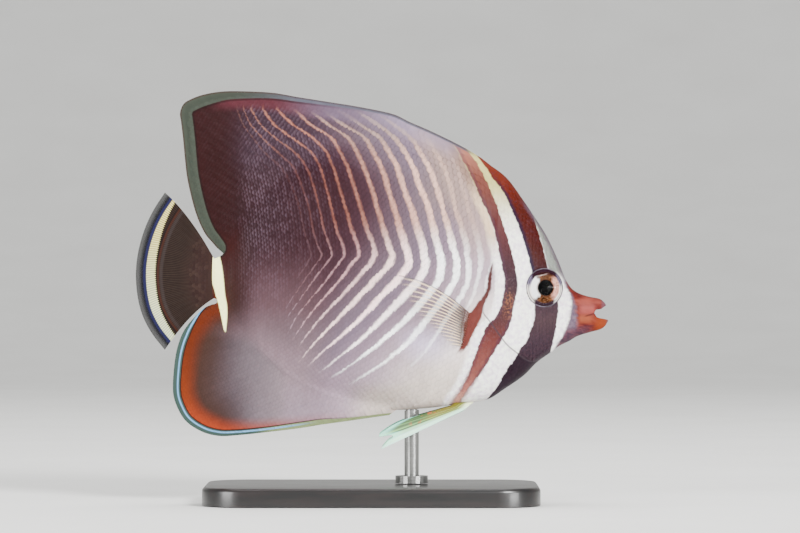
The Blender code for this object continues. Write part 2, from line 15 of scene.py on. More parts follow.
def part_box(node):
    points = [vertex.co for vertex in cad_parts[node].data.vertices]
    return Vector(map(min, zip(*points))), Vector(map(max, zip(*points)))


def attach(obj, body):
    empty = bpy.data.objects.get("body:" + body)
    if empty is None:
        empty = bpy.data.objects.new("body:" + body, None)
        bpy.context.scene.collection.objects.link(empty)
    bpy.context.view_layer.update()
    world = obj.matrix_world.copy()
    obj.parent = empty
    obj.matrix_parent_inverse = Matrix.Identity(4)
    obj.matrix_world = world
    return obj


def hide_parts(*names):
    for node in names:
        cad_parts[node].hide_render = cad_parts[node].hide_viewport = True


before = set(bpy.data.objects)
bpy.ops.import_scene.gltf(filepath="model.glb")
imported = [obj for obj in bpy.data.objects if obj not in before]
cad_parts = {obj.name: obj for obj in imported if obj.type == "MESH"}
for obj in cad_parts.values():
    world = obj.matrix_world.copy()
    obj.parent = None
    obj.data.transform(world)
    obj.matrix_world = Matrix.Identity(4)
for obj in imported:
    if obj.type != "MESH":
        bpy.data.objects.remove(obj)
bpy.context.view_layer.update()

bl_info = {
    "name": "Baroness butterflyfish model",
    "version": (1, 0, 0),
    "blender": (4, 5, 0),
    "location": "3D View > Sidebar > Butterflyfish",
    "description": "Builds the skin, scales, fins, eyes and stand of a life-size butterflyfish",
    "category": "Object",
}

MM = 0.001

# How bright the lamps make a white surface, and the veil that reflections lay over every colour
LIGHT = 4
VEIL = 0.02

# The fish's sides, by the sign of y there
RIGHT = -1
LEFT = 1
SIDES = ((RIGHT, "right"), (LEFT, "left"))

# The part of the skin that a point belongs to
FLANK, DORSAL, ANAL, TAIL = range(4)

# Flesh seen from the side: (x, z) along the back and along the belly
BACK_POINTS = (
    (-43.3, 66.9), (-41, 67.9), (-38.3, 72.3), (-33.4, 80.8), (-25.1, 89.9), (-14.2, 96.6),
    (-3.2, 100.2), (7.8, 101.4), (18.8, 99.4), (27.1, 95.9), (32.8, 92.5), (36.9, 89.4), (42.2, 82.3),
    (44.7, 78.6), (48, 73.4), (51.1, 66.9), (53.7, 60.6), (55.4, 58.4), (57.6, 57.2), (59.9, 56.5),
    (62.4, 56), (63.8, 55.2), (65, 53.6),
)
BELLY_POINTS = (
    (-43.3, 56.1), (-41, 55), (-38.3, 49.8), (-33.4, 42.1), (-25.1, 34.9), (-14.2, 29.7), (-3.2, 27),
    (7.8, 25.4), (15.5, 25.9), (23.2, 26.9), (31.5, 28.2), (37.2, 31.6), (41.9, 34.9), (45.5, 38.5),
    (49.1, 41.1), (51.5, 42.9), (54.3, 44.3), (56.5, 45.6), (59.9, 46.7), (62.8, 47.5), (64.2, 48.4),
    (65, 49.6),
)
HALF_WIDTH_POINTS = (
    (-43.3, 2), (-38.3, 2.9), (-33.4, 4), (-25.1, 5.6), (-14.2, 7.4), (-3.2, 8.7), (7.8, 9.6),
    (18.8, 10.2), (28, 10.4), (36, 9.9), (42, 8.8), (47.3, 7.2), (52, 5.5), (55.4, 4.2), (58, 3.3),
    (61, 2.7), (63.4, 2.1), (65, 1.2),
)
WIDEST_SHARE_POINTS = ((-43.3, 0.5), (0, 0.47), (28, 0.42), (40, 0.4), (48, 0.46), (65, 0.5))
EDGE_POINTS = ((-43.3, 0.75), (-30, 0.8), (32, 0.8), (40, 0.5), (55, 0.4), (65, 0.3))
BACK_SHARPNESS = 1.2
BELLY_SHARPNESS = 0.85
SKIN_DEPTH = 0.12
FAIRING_REACH = 4
FAR = 99.0

# Where the cross-sections of the loft stand
STALK_END = -43.3
FIN_REAR = -40.6
DORSAL_SPLIT = -8.8
DORSAL_FRONT = 33
FACE_START = 41
MOUTH_CORNER = 61.1
SNOUT_END = 65
UPPER_JAW_END = 64.4
JAW_TIP = 1.5
STALK_STATIONS = 6
STATIONS_PER_RAY = 5
STATIONS_PER_SPINE = 8
NAPE_STATIONS = 16
FACE_STATIONS = 62
JAW_STATIONS = 26
SECTION_STEPS = 102

# Median fins: their margins as (x, z) points, and how many rays and spines stand in them
DORSAL_SPINES = 12
DORSAL_RAYS = 24
ANAL_SPINES = 3
ANAL_RAYS = 21
TAIL_RAYS = 17
ANAL_FRONT = 7.2
ANAL_SPLIT = -3.2
DORSAL_SPINE_MARGIN = (
    (30.2, 94.6), (24.9, 97.8), (16.8, 101.8), (10.6, 104.5), (5.6, 106.8), (-4, 108.8), (-12.1, 110.1),
    (-20.6, 111.45),
)
DORSAL_RAY_MARGIN = (
    (-20.6, 111.45), (-27.4, 112.6), (-35.8, 113), (-41.4, 112.9), (-46.1, 112.1), (-49.5, 110.9),
    (-51.7, 109.5), (-52.7, 107), (-52.4, 104.5), (-51.8, 99.4), (-51.3, 94), (-50.7, 89.1),
    (-49.3, 82.8), (-47.8, 78), (-45.8, 73.8), (-43.9, 71.5), (-42.5, 69.9),
)
ANAL_SPINE_MARGIN = ((5.4, 24), (1, 23.4), (-4.4, 22.6), (-9.4, 21.9), (-13.85, 21.3))
ANAL_RAY_MARGIN = (
    (-13.85, 21.3), (-19.3, 20.4), (-27.3, 19.4), (-36.8, 18.4), (-42, 18.2), (-46.7, 19.4), (-51, 22.2),
    (-53.4, 26), (-54.6, 30.2), (-54.4, 36.4), (-53.5, 42.2), (-51.6, 47.2), (-48.4, 51.2), (-46, 53.4),
    (-43.8, 54.4),
)
TAIL_MARGIN = (
    (-57, 41.8), (-60.6, 46.4), (-63.2, 51.4), (-64.6, 57), (-65, 63.4), (-64.2, 69.6), (-62.4, 75.6),
    (-60, 80.6), (-57, 85.2),
)
FIN_STEPS = 20
TAIL_STEPS = 36
FIN_HALF_THICKNESS = 0.6
MARGIN_HALF_THICKNESS = 0.2
RIDGE_HEIGHT = 0.14
TAIL_HALF_THICKNESS = 0.95
TAIL_SWING = 2.6
TAIL_LENGTH = 21
TAIL_BOW = 1.6

# Relief of the head
GILL_OPENING = (
    (37.8, 95), (36.1, 88.5), (34, 78), (32.6, 66), (30.9, 58), (30.3, 52.6), (32.3, 47.4), (38.6, 41.8),
    (45.2, 38.2), (49, 35),
)
GILL_STEP = 0.42
# Path of the thin line of painted shade along the gill cover's edge, as (x, z) points
GILL_LINE = (
    (32, 58), (30.6, 55), (30.5, 52.3), (32.7, 49.3), (36.7, 43.8), (40, 41), (41.6, 39.7), (43.8, 38.8),
    (46.5, 39.4), (49.5, 41),
)
CHEEK_EDGE = ((44.5, 47), (41.4, 49.5), (39.6, 53.5), (39, 58), (39.4, 62))
CHEEK_STEP = 0.16
EYE_SOCKET_DEPTH = 1.3
EYE_SOCKET_SWELL = 0.15
NOSTRIL_DEPTH = 0.4
NOSTRIL_SWELL = 0.12
NOSTRILS = ((52.3, 54.5, 0.45), (53.3, 55.9, 0.36))
UPPER_LIP_Z = ((61.1, 52.1), (61.6, 52.9), (62.9, 53.1), (63.8, 53.6), (65, 54.1))
LOWER_LIP_Z = ((61.1, 52.1), (61.9, 50.9), (63.3, 50.5), (65, 50.3))
LIP_SWELL = 0.34

# Eyes
EYE_CENTRE = (47.3, 59)
EYE_RADIUS = 5.25
EYE_DOME = 1.6
EYE_CUP = 2.6
BALL_DOME = EYE_DOME - 0.2
EYE_RIM_HALF = 0.13
EYE_SUNK = 0.3
EYE_TURN = math.radians(16)
IRIS_RADIUS = 4
PUPIL_RADIUS = 2.2

# Paired fins, given for one side and mirrored to the other
BREAST_FIN_ROOT = ((26.9, 51.9), (24.7, 43))
BREAST_FIN_TIPS = ((7.4, 62.5), (8.6, 58), (11.6, 52.9), (16.6, 48.3), (21.8, 43.2))
BREAST_FIN_RAYS = 15
BREAST_FIN_BOW = 2
BREAST_FIN_SPREAD = 0.62
BREAST_FIN_CUP = 0.008
PELVIC_FIN_ROOT = ((28, 26.6), (22.9, 26.6))
PELVIC_FIN_TIPS = (
    (2.6, 14.9), (4.4, 17), (5.8, 18), (5.4, 18.7), (2, 18.4), (4.6, 20.6), (8, 22.4), (12.2, 23.8),
)
PELVIC_FIN_RAYS = 6
PELVIC_FIN_SIDE = 2.7
PELVIC_FIN_SPLAY = 0.2

# Rounding of the stand's base
PLINTH_CORNER = 12
PLINTH_EDGE = 1.2

# The floor in metres: its reach, where it bends up, and the bend's radius and upper end
FLOOR_REACH = 5
FLOOR_BEND = 1.2
FLOOR_CURVE = 1.6
FLOOR_HEIGHT = 6

# Lamps of the studio: place, width and height in metres, and power
LAMPS = {
    "key": ((0.7, -1.1, 0.72), (0.45, 0.45), 42),
    "fill": ((-1, -0.85, 0.3), (0.6, 0.5), 20),
    "low": ((0.95, -0.9, 0.07), (0.5, 0.1), 7),
    "top": ((0, 0.25, 1), (0.7, 0.5), 9),
}
SKY_COLOUR = (0.8, 0.805, 0.81, 1)
SKY_STRENGTH = 0.72

# The camera's sensor in millimetres, and how many metres it sees
SENSOR_WIDTH = 36
SIGHT = 20


def seen(red, green, blue):
    """The surface colour that looks like this one, from 0 to 255, under the studio's lights."""
    shares = [value / 255 for value in (red, green, blue)]
    linear = [v / 12.92 if v <= 0.04045 else ((v + 0.055) / 1.055) ** 2.4 for v in shares]
    return tuple(min(max(1.1 * v - VEIL, 0.15 * v) + 6 * v**4.7, 0.92 * LIGHT) / LIGHT for v in linear)


class StageSettings(bpy.types.PropertyGroup):
    view_width: bpy.props.FloatProperty(
        name="View width", description="Width of the picture at the fish", default=220 * MM, unit="LENGTH"
    )
    view_x: bpy.props.FloatProperty(
        name="View centre X", description="Place along the fish that the camera faces", default=7.8 * MM,
        unit="LENGTH",
    )
    view_z: bpy.props.FloatProperty(
        name="View centre Z", description="Height of the camera above the floor", default=64.8 * MM,
        unit="LENGTH",
    )
    distance: bpy.props.FloatProperty(
        name="Distance", description="From the camera to the fish", default=1.2, unit="LENGTH"
    )
    backdrop: bpy.props.FloatVectorProperty(
        name="Backdrop", description="Colour of the floor and its backdrop", subtype="COLOR",
        default=(0.88, 0.88, 0.86),
    )


class MarkingSettings(bpy.types.PropertyGroup):
    maroon: bpy.props.FloatVectorProperty(
        name="Maroon", description="Rear of the back fin", subtype="COLOR", default=seen(74, 41, 40)
    )
    white: bpy.props.FloatVectorProperty(
        name="White", description="White bars of the head", subtype="COLOR", default=seen(242, 240, 235)
    )
    snout: bpy.props.FloatVectorProperty(
        name="Snout", description="Red of the snout", subtype="COLOR", default=seen(164, 72, 60)
    )
    orange: bpy.props.FloatVectorProperty(
        name="Orange", description="Band of the anal fin", subtype="COLOR", default=seen(166, 72, 32)
    )
    wobble: bpy.props.FloatProperty(
        name="Wobble", description="How far the chevrons stray from true lines, in spacings", default=0.06,
        min=0.0, max=0.5,
    )


class ScaleSettings(bpy.types.PropertyGroup):
    body_spacing: bpy.props.FloatProperty(
        name="Flank spacing", description="Between scales near the tail; wider towards the head",
        default=1.12 * MM, unit="LENGTH",
    )
    head_spacing: bpy.props.FloatProperty(
        name="Head spacing", description="Between scales on the head", default=1.25 * MM, unit="LENGTH"
    )
    fin_spacing: bpy.props.FloatProperty(
        name="Fin spacing", description="Between scales on the fins", default=1.2 * MM, unit="LENGTH"
    )
    lift: bpy.props.FloatProperty(
        name="Lift", description="How far a scale's free edge stands off", default=0.19 * MM, unit="LENGTH"
    )
    seed: bpy.props.IntProperty(name="Seed", description="Changes the scales' small variation", default=7)


def profile(points):
    """A smooth height over x through a few points, with no overshoot between them."""
    xs, zs = np.array(points, dtype=float).T
    steps = np.diff(xs)
    slopes = np.diff(zs) / steps
    before, after = slopes[:-1], slopes[1:]
    total = np.where(before + after == 0, 1, before + after)
    middle = np.where(before * after > 0, 2 * before * after / total, 0)
    tangents = np.concatenate([[slopes[0]], middle, [slopes[-1]]])

    def height(x):
        x = np.clip(x, xs[0], xs[-1])
        i = np.clip(np.searchsorted(xs, x, side="right") - 1, 0, len(xs) - 2)
        t = (x - xs[i]) / steps[i]
        return (
            zs[i] * (1 + 2 * t) * (1 - t) ** 2
            + zs[i + 1] * t * t * (3 - 2 * t)
            + tangents[i] * steps[i] * t * (1 - t) ** 2
            - tangents[i + 1] * steps[i] * t * t * (1 - t)
        )

    return height


back = profile(BACK_POINTS)
belly = profile(BELLY_POINTS)
half_width = profile(HALF_WIDTH_POINTS)
widest_share = profile(WIDEST_SHARE_POINTS)
edge_half = profile(EDGE_POINTS)
upper_lip = profile(UPPER_LIP_Z)
lower_lip = profile(LOWER_LIP_Z)


def smooth_path(points, steps=12):
    """Close points along a smooth curve through the given (x, z) points."""
    knots = np.array(points, dtype=float)
    knots = np.vstack([2 * knots[0] - knots[1], knots, 2 * knots[-1] - knots[-2]])
    t = (np.arange(steps) / steps)[:, None]
    path = []
    for a, b, c, d in zip(knots, knots[1:], knots[2:], knots[3:]):
        bend = (2 * a - 5 * b + 4 * c - d) * t**2 + (3 * b - a - 3 * c + d) * t**3
        path.append((2 * b + (c - a) * t + bend) / 2)
    return np.vstack([*path, knots[-2]])


def lengths_along(path):
    """The distance along a path to each of its points."""
    return np.concatenate([[0], np.cumsum(np.linalg.norm(np.diff(path, axis=0), axis=1))])


def along(path, shares):
    """The points a share of the way along a path, by length."""
    lengths = lengths_along(path)
    places = np.asarray(shares) * lengths[-1]
    return np.stack([np.interp(places, lengths, path[:, i]) for i in range(path.shape[1])], axis=-1)


def smooth_step(low, high, value):
    t = np.clip((value - low) / (high - low), 0, 1)
    return t * t * (3 - 2 * t)


def from_path(points, path):
    """Distance from side-view points to a path, and the side that they lie on."""
    start, run = path[:-1], np.diff(path, axis=0)
    nearest = np.full(len(points), np.inf)
    side = np.ones(len(points))
    for a, d in zip(start, run):
        offset = points - a
        t = np.clip(offset @ d / (d @ d), 0, 1)
        gap = np.linalg.norm(offset - t[:, None] * d, axis=1)
        closer = gap < nearest
        nearest = np.where(closer, gap, nearest)
        side = np.where(closer, np.sign(d[0] * offset[:, 1] - d[1] * offset[:, 0]), side)
    return nearest, side


def ahead_of(points, edge):
    """Distance from side-view points to an edge of the head, more than 0 on one side of it."""
    gap, side = from_path(points, smooth_path(edge, 6))
    return gap * side


def from_eye(x, z):
    """Distance of side-view places from the eye's centre, measured in the plane of the eye."""
    return np.hypot((x - EYE_CENTRE[0]) / math.cos(EYE_TURN), z - EYE_CENTRE[1])


def fairing(x, z):
    """1 on the open flank, less towards the base of a median fin, so that flesh sweeps into the fin."""
    fair = 1
    for contour, sign, front in ((back, 1, DORSAL_FRONT), (belly, -1, ANAL_FRONT)):
        slope = contour(x + 0.5) - contour(x - 0.5)
        away = np.clip(sign * (contour(x) - z), 0, None) / np.hypot(1, slope)
        fair = fair * (1 - smooth_step(front + 7, front - 5, x) * np.exp(-((away / FAIRING_REACH) ** 1.5)))
    return fair


def flank_half(x, z):
    """Half width of the flesh at places seen from the side."""
    high, low = back(x), belly(x)
    widest = low + widest_share(x) * (high - low)
    above = z > widest
    share = np.clip((z - widest) / np.where(above, high - widest, widest - low), -1, 1)
    fullness = np.sqrt(1 - share**2) ** np.where(above, BACK_SHARPNESS, BELLY_SHARPNESS)
    edge = edge_half(x)
    return edge + (half_width(x) - SKIN_DEPTH - edge) * fullness * fairing(x, z), fullness


def head_relief(x, z, fullness):
    """How far the head's forms stand off the plain flank."""
    points = np.stack([x.ravel(), z.ravel()], axis=1)
    gill, cheek = (ahead_of(points, path).reshape(x.shape) for path in (GILL_OPENING, CHEEK_EDGE))
    relief = GILL_STEP * smooth_step(-0.35, 0.45, gill) * (1 - smooth_step(1, 9, gill))
    relief += CHEEK_STEP * smooth_step(-0.3, 0.3, -cheek) * (1 - smooth_step(0.6, 5, -cheek))
    eye = from_eye(x, z)
    relief -= EYE_SOCKET_DEPTH * (1 - smooth_step(EYE_RADIUS - 0.5, EYE_RADIUS, eye))
    relief += EYE_SOCKET_SWELL * np.exp(-(((eye - EYE_RADIUS - 0.5) / 0.5) ** 2))
    for nostril_x, nostril_z, radius in NOSTRILS:
        away = np.hypot(x - nostril_x, z - nostril_z) / radius
        relief += NOSTRIL_SWELL * np.exp(-(((away - 1.5) / 0.6) ** 2)) - NOSTRIL_DEPTH * np.exp(-(away**2))
    lip = smooth_step(MOUTH_CORNER - 0.6, MOUTH_CORNER + 1.6, x)
    from_lip = np.minimum(np.abs(z - upper_lip(x)), np.abs(z - lower_lip(x)))
    relief += LIP_SWELL * lip * np.exp(-((from_lip / 1.1) ** 2))
    return relief * np.minimum(1, fullness * 3)


def shared_steps(start, end, count):
    return np.linspace(start, end, count + 1)[:-1]


def stations():
    """Places of the loft's cross-sections, with a fixed number to each ray and spine of the back fin."""
    reach = np.linspace(FIN_REAR, DORSAL_SPLIT, 400)
    line = np.stack([reach, back(reach)], axis=1)
    rays = along(line, np.arange(DORSAL_RAYS * STATIONS_PER_RAY) / (DORSAL_RAYS * STATIONS_PER_RAY))[:, 0]
    return np.concatenate([
        shared_steps(STALK_END, FIN_REAR, STALK_STATIONS),
        rays,
        shared_steps(DORSAL_SPLIT, DORSAL_FRONT, DORSAL_SPINES * STATIONS_PER_SPINE),
        shared_steps(DORSAL_FRONT, FACE_START, NAPE_STATIONS),
        shared_steps(FACE_START, MOUTH_CORNER, FACE_STATIONS),
        np.linspace(MOUTH_CORNER, SNOUT_END, JAW_STATIONS + 1),
    ])


def flank_grid(xs):
    """Side view of the flesh: one row for each station, from belly to back."""
    angles = np.pi * (np.arange(SECTION_STEPS + 1) / SECTION_STEPS - 0.5)
    high, low = back(xs)[:, None], belly(xs)[:, None]
    widest = low + widest_share(xs)[:, None] * (high - low)
    reach = np.where(angles > 0, high - widest, widest - low)
    z = widest + reach * np.sin(angles)
    x = np.repeat(xs[:, None], SECTION_STEPS + 1, axis=1)
    return x, z


def jaw_grid(xs, upper):
    """One jaw past the mouth's corner, from the lip's edge to the outside, with a rounded tip."""
    angles = np.linspace(0, np.pi / 2, SECTION_STEPS // 2 + 1)
    end = UPPER_JAW_END if upper else SNOUT_END
    x = MOUTH_CORNER + (xs - MOUTH_CORNER)[:, None] * (end - MOUTH_CORNER) / (SNOUT_END - MOUTH_CORNER)
    if upper:
        inner, outer = upper_lip(x), back(x)
        z = inner + (outer - inner) * np.sin(angles)
    else:
        inner, outer = lower_lip(x), belly(x)
        z = outer + (inner - outer) * (1 - np.cos(angles))
    x = np.repeat(x, len(angles), axis=1)
    half, fullness = flank_half(x, z)
    half = half + head_relief(x, z, fullness)
    close = np.sqrt(np.clip(1 - ((x - (end - JAW_TIP)).clip(0) / (JAW_TIP * 1.02)) ** 2, 0, 1))
    middle = (inner + outer) / 2
    return x, middle + (z - middle) * (0.45 + 0.55 * close), half * (0.25 + 0.75 * close)


def ridge(phase):
    """The cross-section of evenly spaced rays: 1 on a ray and 0 on the web between."""
    return (0.5 + 0.5 * np.cos(2 * np.pi * phase)) ** 2


def grid_quads(index, turned=False):
    """Quads between the rows and columns of a grid of indices."""
    a, b, c, d = index[:-1, :-1], index[1:, :-1], index[1:, 1:], index[:-1, 1:]
    corners = (a, d, c, b) if turned else (a, b, c, d)
    return np.stack([corner.ravel() for corner in corners], axis=1)


class Skin:
    """The lofted skin: a grid for each flank, median fin and tail half, joined by shared vertices."""

    def __init__(self):
        self.points = []
        self.faces = []
        self.lining = []
        self.rays = []
        self.zones = []
        self.grids = {}

    def add(self, points, rays, zone):
        """Adds a grid of points and returns their indices."""
        first = sum(len(block) for block in self.points)
        self.points.append(points.reshape(-1, 3))
        self.rays.append(np.broadcast_to(rays, points.shape[:2]).ravel())
        self.zones.append(np.full(points.shape[0] * points.shape[1], zone))
        return first + np.arange(points.shape[0] * points.shape[1]).reshape(points.shape[:2])

    def join(self, index, turned=False):
        self.faces.append(grid_quads(index, turned))

    def close(self, right, left, lining=False):
        """A strip of quads from a line on the right half to the same line on the left."""
        quads = np.stack([right[:-1], right[1:], left[1:], left[:-1]], axis=1)
        (self.lining if lining else self.faces).append(quads)


def with_y(x, z, y):
    return np.stack([x, y, z], axis=-1)


def median_fin_grid(foot, tip, phase, root_half):
    """A fin's side view and half thickness: one row for each station, base to margin."""
    t = np.arange(1, FIN_STEPS + 1) / FIN_STEPS
    place = foot[:, None] + (tip - foot)[:, None] * t[:, None]
    web = root_half[:, None] + (MARGIN_HALF_THICKNESS - root_half[:, None]) * smooth_step(-0.35, 1, t)
    stand = RIDGE_HEIGHT * smooth_step(0, 0.2, t) * (1 - 0.55 * t)
    return place[..., 0], place[..., 1], web + stand * ridge(phase)[:, None]


def fin_shares(contour, xs, front, split, rear):
    """Where each station stands along a fin's spiny stretch and its soft one, by length of the base."""
    shares = np.zeros((len(xs), 2))
    for column, (start, end) in enumerate(((front, split), (split, rear))):
        reach = np.linspace(start, end, 300)
        lengths = lengths_along(np.stack([reach, contour(reach)], axis=1))
        shares[:, column] = np.interp(-xs, -reach, lengths / lengths[-1])
    return shares


def fin_plan(contour, xs, front, split, rear, margins, counts):
    """Base, margin and ray count of a median fin at each of its stations."""
    shares = fin_shares(contour, xs, front, split, rear)
    spiny = xs >= split
    tips = np.where(
        spiny[:, None],
        along(smooth_path(margins[0]), shares[:, 0]),
        along(smooth_path(margins[1]), shares[:, 1]),
    )
    phase = np.where(spiny, shares[:, 0] * counts[0], counts[0] + shares[:, 1] * counts[1])
    return np.stack([xs, contour(xs)], axis=1), tips, phase


def tail_grid(x0, z0, y0):
    """The tail fin as a loft on from the stalk's last section, rows from base to margin."""
    share = np.arange(SECTION_STEPS + 1) / SECTION_STEPS
    tips = along(smooth_path(TAIL_MARGIN), share)
    t = (np.arange(1, TAIL_STEPS + 1) / TAIL_STEPS)[:, None]
    x = x0 + (tips[:, 0] - x0) * t
    z = z0 + (tips[:, 1] - z0) * t + TAIL_BOW * 4 * t * (1 - t)
    phase = share * TAIL_RAYS
    web = TAIL_HALF_THICKNESS + (MARGIN_HALF_THICKNESS - TAIL_HALF_THICKNESS) * smooth_step(0, 1, t)
    stand = RIDGE_HEIGHT * 0.5 * smooth_step(0.1, 0.3, t) * (1 - 0.5 * t)
    plate = web + stand * ridge(phase + 0.5)
    blend = smooth_step(0, 0.3, t)
    half = y0 * (1 - blend) + plate * blend
    swing = TAIL_SWING * np.hypot(x - x0, z - z0) / TAIL_LENGTH
    return x, z, half, swing, phase


def add_jaws(skin, flank, xs, corner):
    """Jaws grow on from the mouth's corner; their first rows are the flank's last one."""
    middle = SECTION_STEPS // 2
    for upper in (True, False):
        x, z, half = jaw_grid(xs[corner + 1:], upper)
        rows = {}
        for side in (RIGHT, LEFT):
            index = skin.add(with_y(x, z, side * half), 0, FLANK)
            first = flank[side][corner, middle:] if upper else flank[side][corner, : middle + 1]
            rows[side] = np.vstack([first[None], index])
            skin.join(rows[side], turned=side == RIGHT)
        lip, rim = (0, -1) if upper else (-1, 0)
        skin.close(rows[RIGHT][:, lip], rows[LEFT][:, lip], lining=True)
        skin.close(rows[RIGHT][:, rim], rows[LEFT][:, rim])
        skin.close(rows[RIGHT][-1], rows[LEFT][-1])


def add_median_fin(skin, flank, xs, half, name, contour, edge, front, split, margins, counts, zone):
    """A median fin on one edge of both flanks, which are closed along the rest of that edge."""
    inside = np.flatnonzero((xs >= FIN_REAR - 0.01) & (xs <= front + 0.01))
    foot, tip, phase = fin_plan(contour, xs[inside], front, split, FIN_REAR, margins, counts)
    root_half = np.minimum(half[inside, edge], FIN_HALF_THICKNESS + 0.2)
    x, z, fin_half = median_fin_grid(foot, tip, phase, root_half)
    lines = {}
    for side in (RIGHT, LEFT):
        grid = with_y(x, z, side * fin_half)
        index = skin.add(grid, phase[:, None], zone)
        lines[side] = np.hstack([flank[side][inside, edge][:, None], index])
        skin.join(lines[side])
        skin.grids[side, name] = inside, grid
    skin.close(lines[RIGHT][:, -1], lines[LEFT][:, -1])
    for end in (0, -1):
        skin.close(lines[RIGHT][end], lines[LEFT][end])
    for run in (np.arange(inside[0] + 1), np.arange(inside[-1], len(flank[RIGHT]))):
        skin.close(flank[RIGHT][run, edge], flank[LEFT][run, edge])


def add_tail(skin, flank, x0, z0, y0):
    """The tail fin, grown on from the flanks' first rows."""
    x, z, half, swing, phase = tail_grid(x0, z0, y0)
    ends = {}
    for side in (RIGHT, LEFT):
        grid = with_y(x, z, side * half + swing)
        index = skin.add(grid, phase[None], TAIL)
        ends[side] = np.vstack([flank[side][0][None], index])
        skin.join(ends[side], turned=side == LEFT)
        skin.grids[side, "tail"] = np.concatenate([skin.grids[side, "flank"][:1], grid])
    for line in (0, -1):
        skin.close(ends[RIGHT][:, line], ends[LEFT][:, line])
    skin.close(ends[RIGHT][-1], ends[LEFT][-1])


def build_skin():
    """Both flanks, then the jaws, median fins and tail that grow on from their edges."""
    skin = Skin()
    xs = stations()
    corner = len(xs) - JAW_STATIONS - 1
    x, z = flank_grid(xs[: corner + 1])
    half, fullness = flank_half(x, z)
    half = half + head_relief(x, z, fullness)
    flank = {}
    for side in (RIGHT, LEFT):
        skin.grids[side, "flank"] = with_y(x, z, side * half)
        flank[side] = skin.add(skin.grids[side, "flank"], 0, FLANK)
        skin.join(flank[side], turned=side == RIGHT)
    add_jaws(skin, flank, xs, corner)
    add_median_fin(
        skin, flank, xs, half, "dorsal", back, SECTION_STEPS, DORSAL_FRONT, DORSAL_SPLIT,
        (DORSAL_SPINE_MARGIN, DORSAL_RAY_MARGIN), (DORSAL_SPINES, DORSAL_RAYS), DORSAL,
    )
    add_median_fin(
        skin, flank, xs, half, "anal", belly, 0, ANAL_FRONT, ANAL_SPLIT,
        (ANAL_SPINE_MARGIN, ANAL_RAY_MARGIN), (ANAL_SPINES, ANAL_RAYS), ANAL,
    )
    add_tail(skin, flank, x[0], z[0], half[0])
    return skin


def margin_distances(points, zones):
    """How far each point lies from the margins of the back, anal and tail fins, seen from the side."""
    found = {}
    for name, margins, allowed in (
        ("dorsal_edge", (DORSAL_SPINE_MARGIN, DORSAL_RAY_MARGIN), (FLANK, DORSAL)),
        ("anal_edge", (ANAL_SPINE_MARGIN, ANAL_RAY_MARGIN), (FLANK, ANAL)),
        ("tail_edge", (TAIL_MARGIN,), (TAIL,)),
    ):
        path = np.vstack([smooth_path(margin, 6) for margin in margins])
        chosen = np.isin(zones, allowed)
        found[name] = np.full(len(points), FAR)
        found[name][chosen] = from_path(points[chosen][:, [0, 2]], path)[0]
    return found


def new_mesh_object(name, points, faces, attributes=(), smooth=40):
    """A mesh object at the origin from arrays in millimetres."""
    mesh = bpy.data.meshes.new(name)
    mesh.vertices.add(len(points))
    mesh.vertices.foreach_set("co", (np.asarray(points) * MM).astype(np.float32).ravel())
    sizes = np.concatenate([np.full(len(block), block.shape[1]) for block in faces])
    loops = np.concatenate([block.ravel() for block in faces])
    mesh.loops.add(len(loops))
    mesh.loops.foreach_set("vertex_index", loops.astype(np.int32))
    mesh.polygons.add(len(sizes))
    starts = np.concatenate([[0], np.cumsum(sizes)[:-1]])
    mesh.polygons.foreach_set("loop_start", starts.astype(np.int32))
    mesh.update(calc_edges=True)
    for key, values in dict(attributes).items():
        layer = mesh.attributes.new(key, "FLOAT", "POINT")
        layer.data.foreach_set("value", np.asarray(values, dtype=np.float32))
    made = bpy.data.objects.new(name, mesh)
    bpy.context.scene.collection.objects.link(made)
    mesh.shade_smooth()
    mesh.set_sharp_from_angle(angle=math.radians(smooth))
    return made


def sound(made, merge=None):
    """Turns every face of a closed mesh outwards, and first merges points closer than a distance."""
    bpy.ops.object.select_all(action="DESELECT")
    made.select_set(True)
    bpy.context.view_layer.objects.active = made
    bpy.ops.object.mode_set(mode="EDIT")
    bpy.ops.mesh.select_all(action="SELECT")
    if merge:
        bpy.ops.mesh.remove_doubles(threshold=merge)
    bpy.ops.mesh.normals_make_consistent(inside=False)
    bpy.ops.object.mode_set(mode="OBJECT")
    made.select_set(False)
    return made


def adopt(made, slot_name, *nodes):
    """The piece rides on the model and stands for the given nodes; the slot name is not used."""
    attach(made, "root")
    if nodes:
        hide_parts(*nodes)
    return made


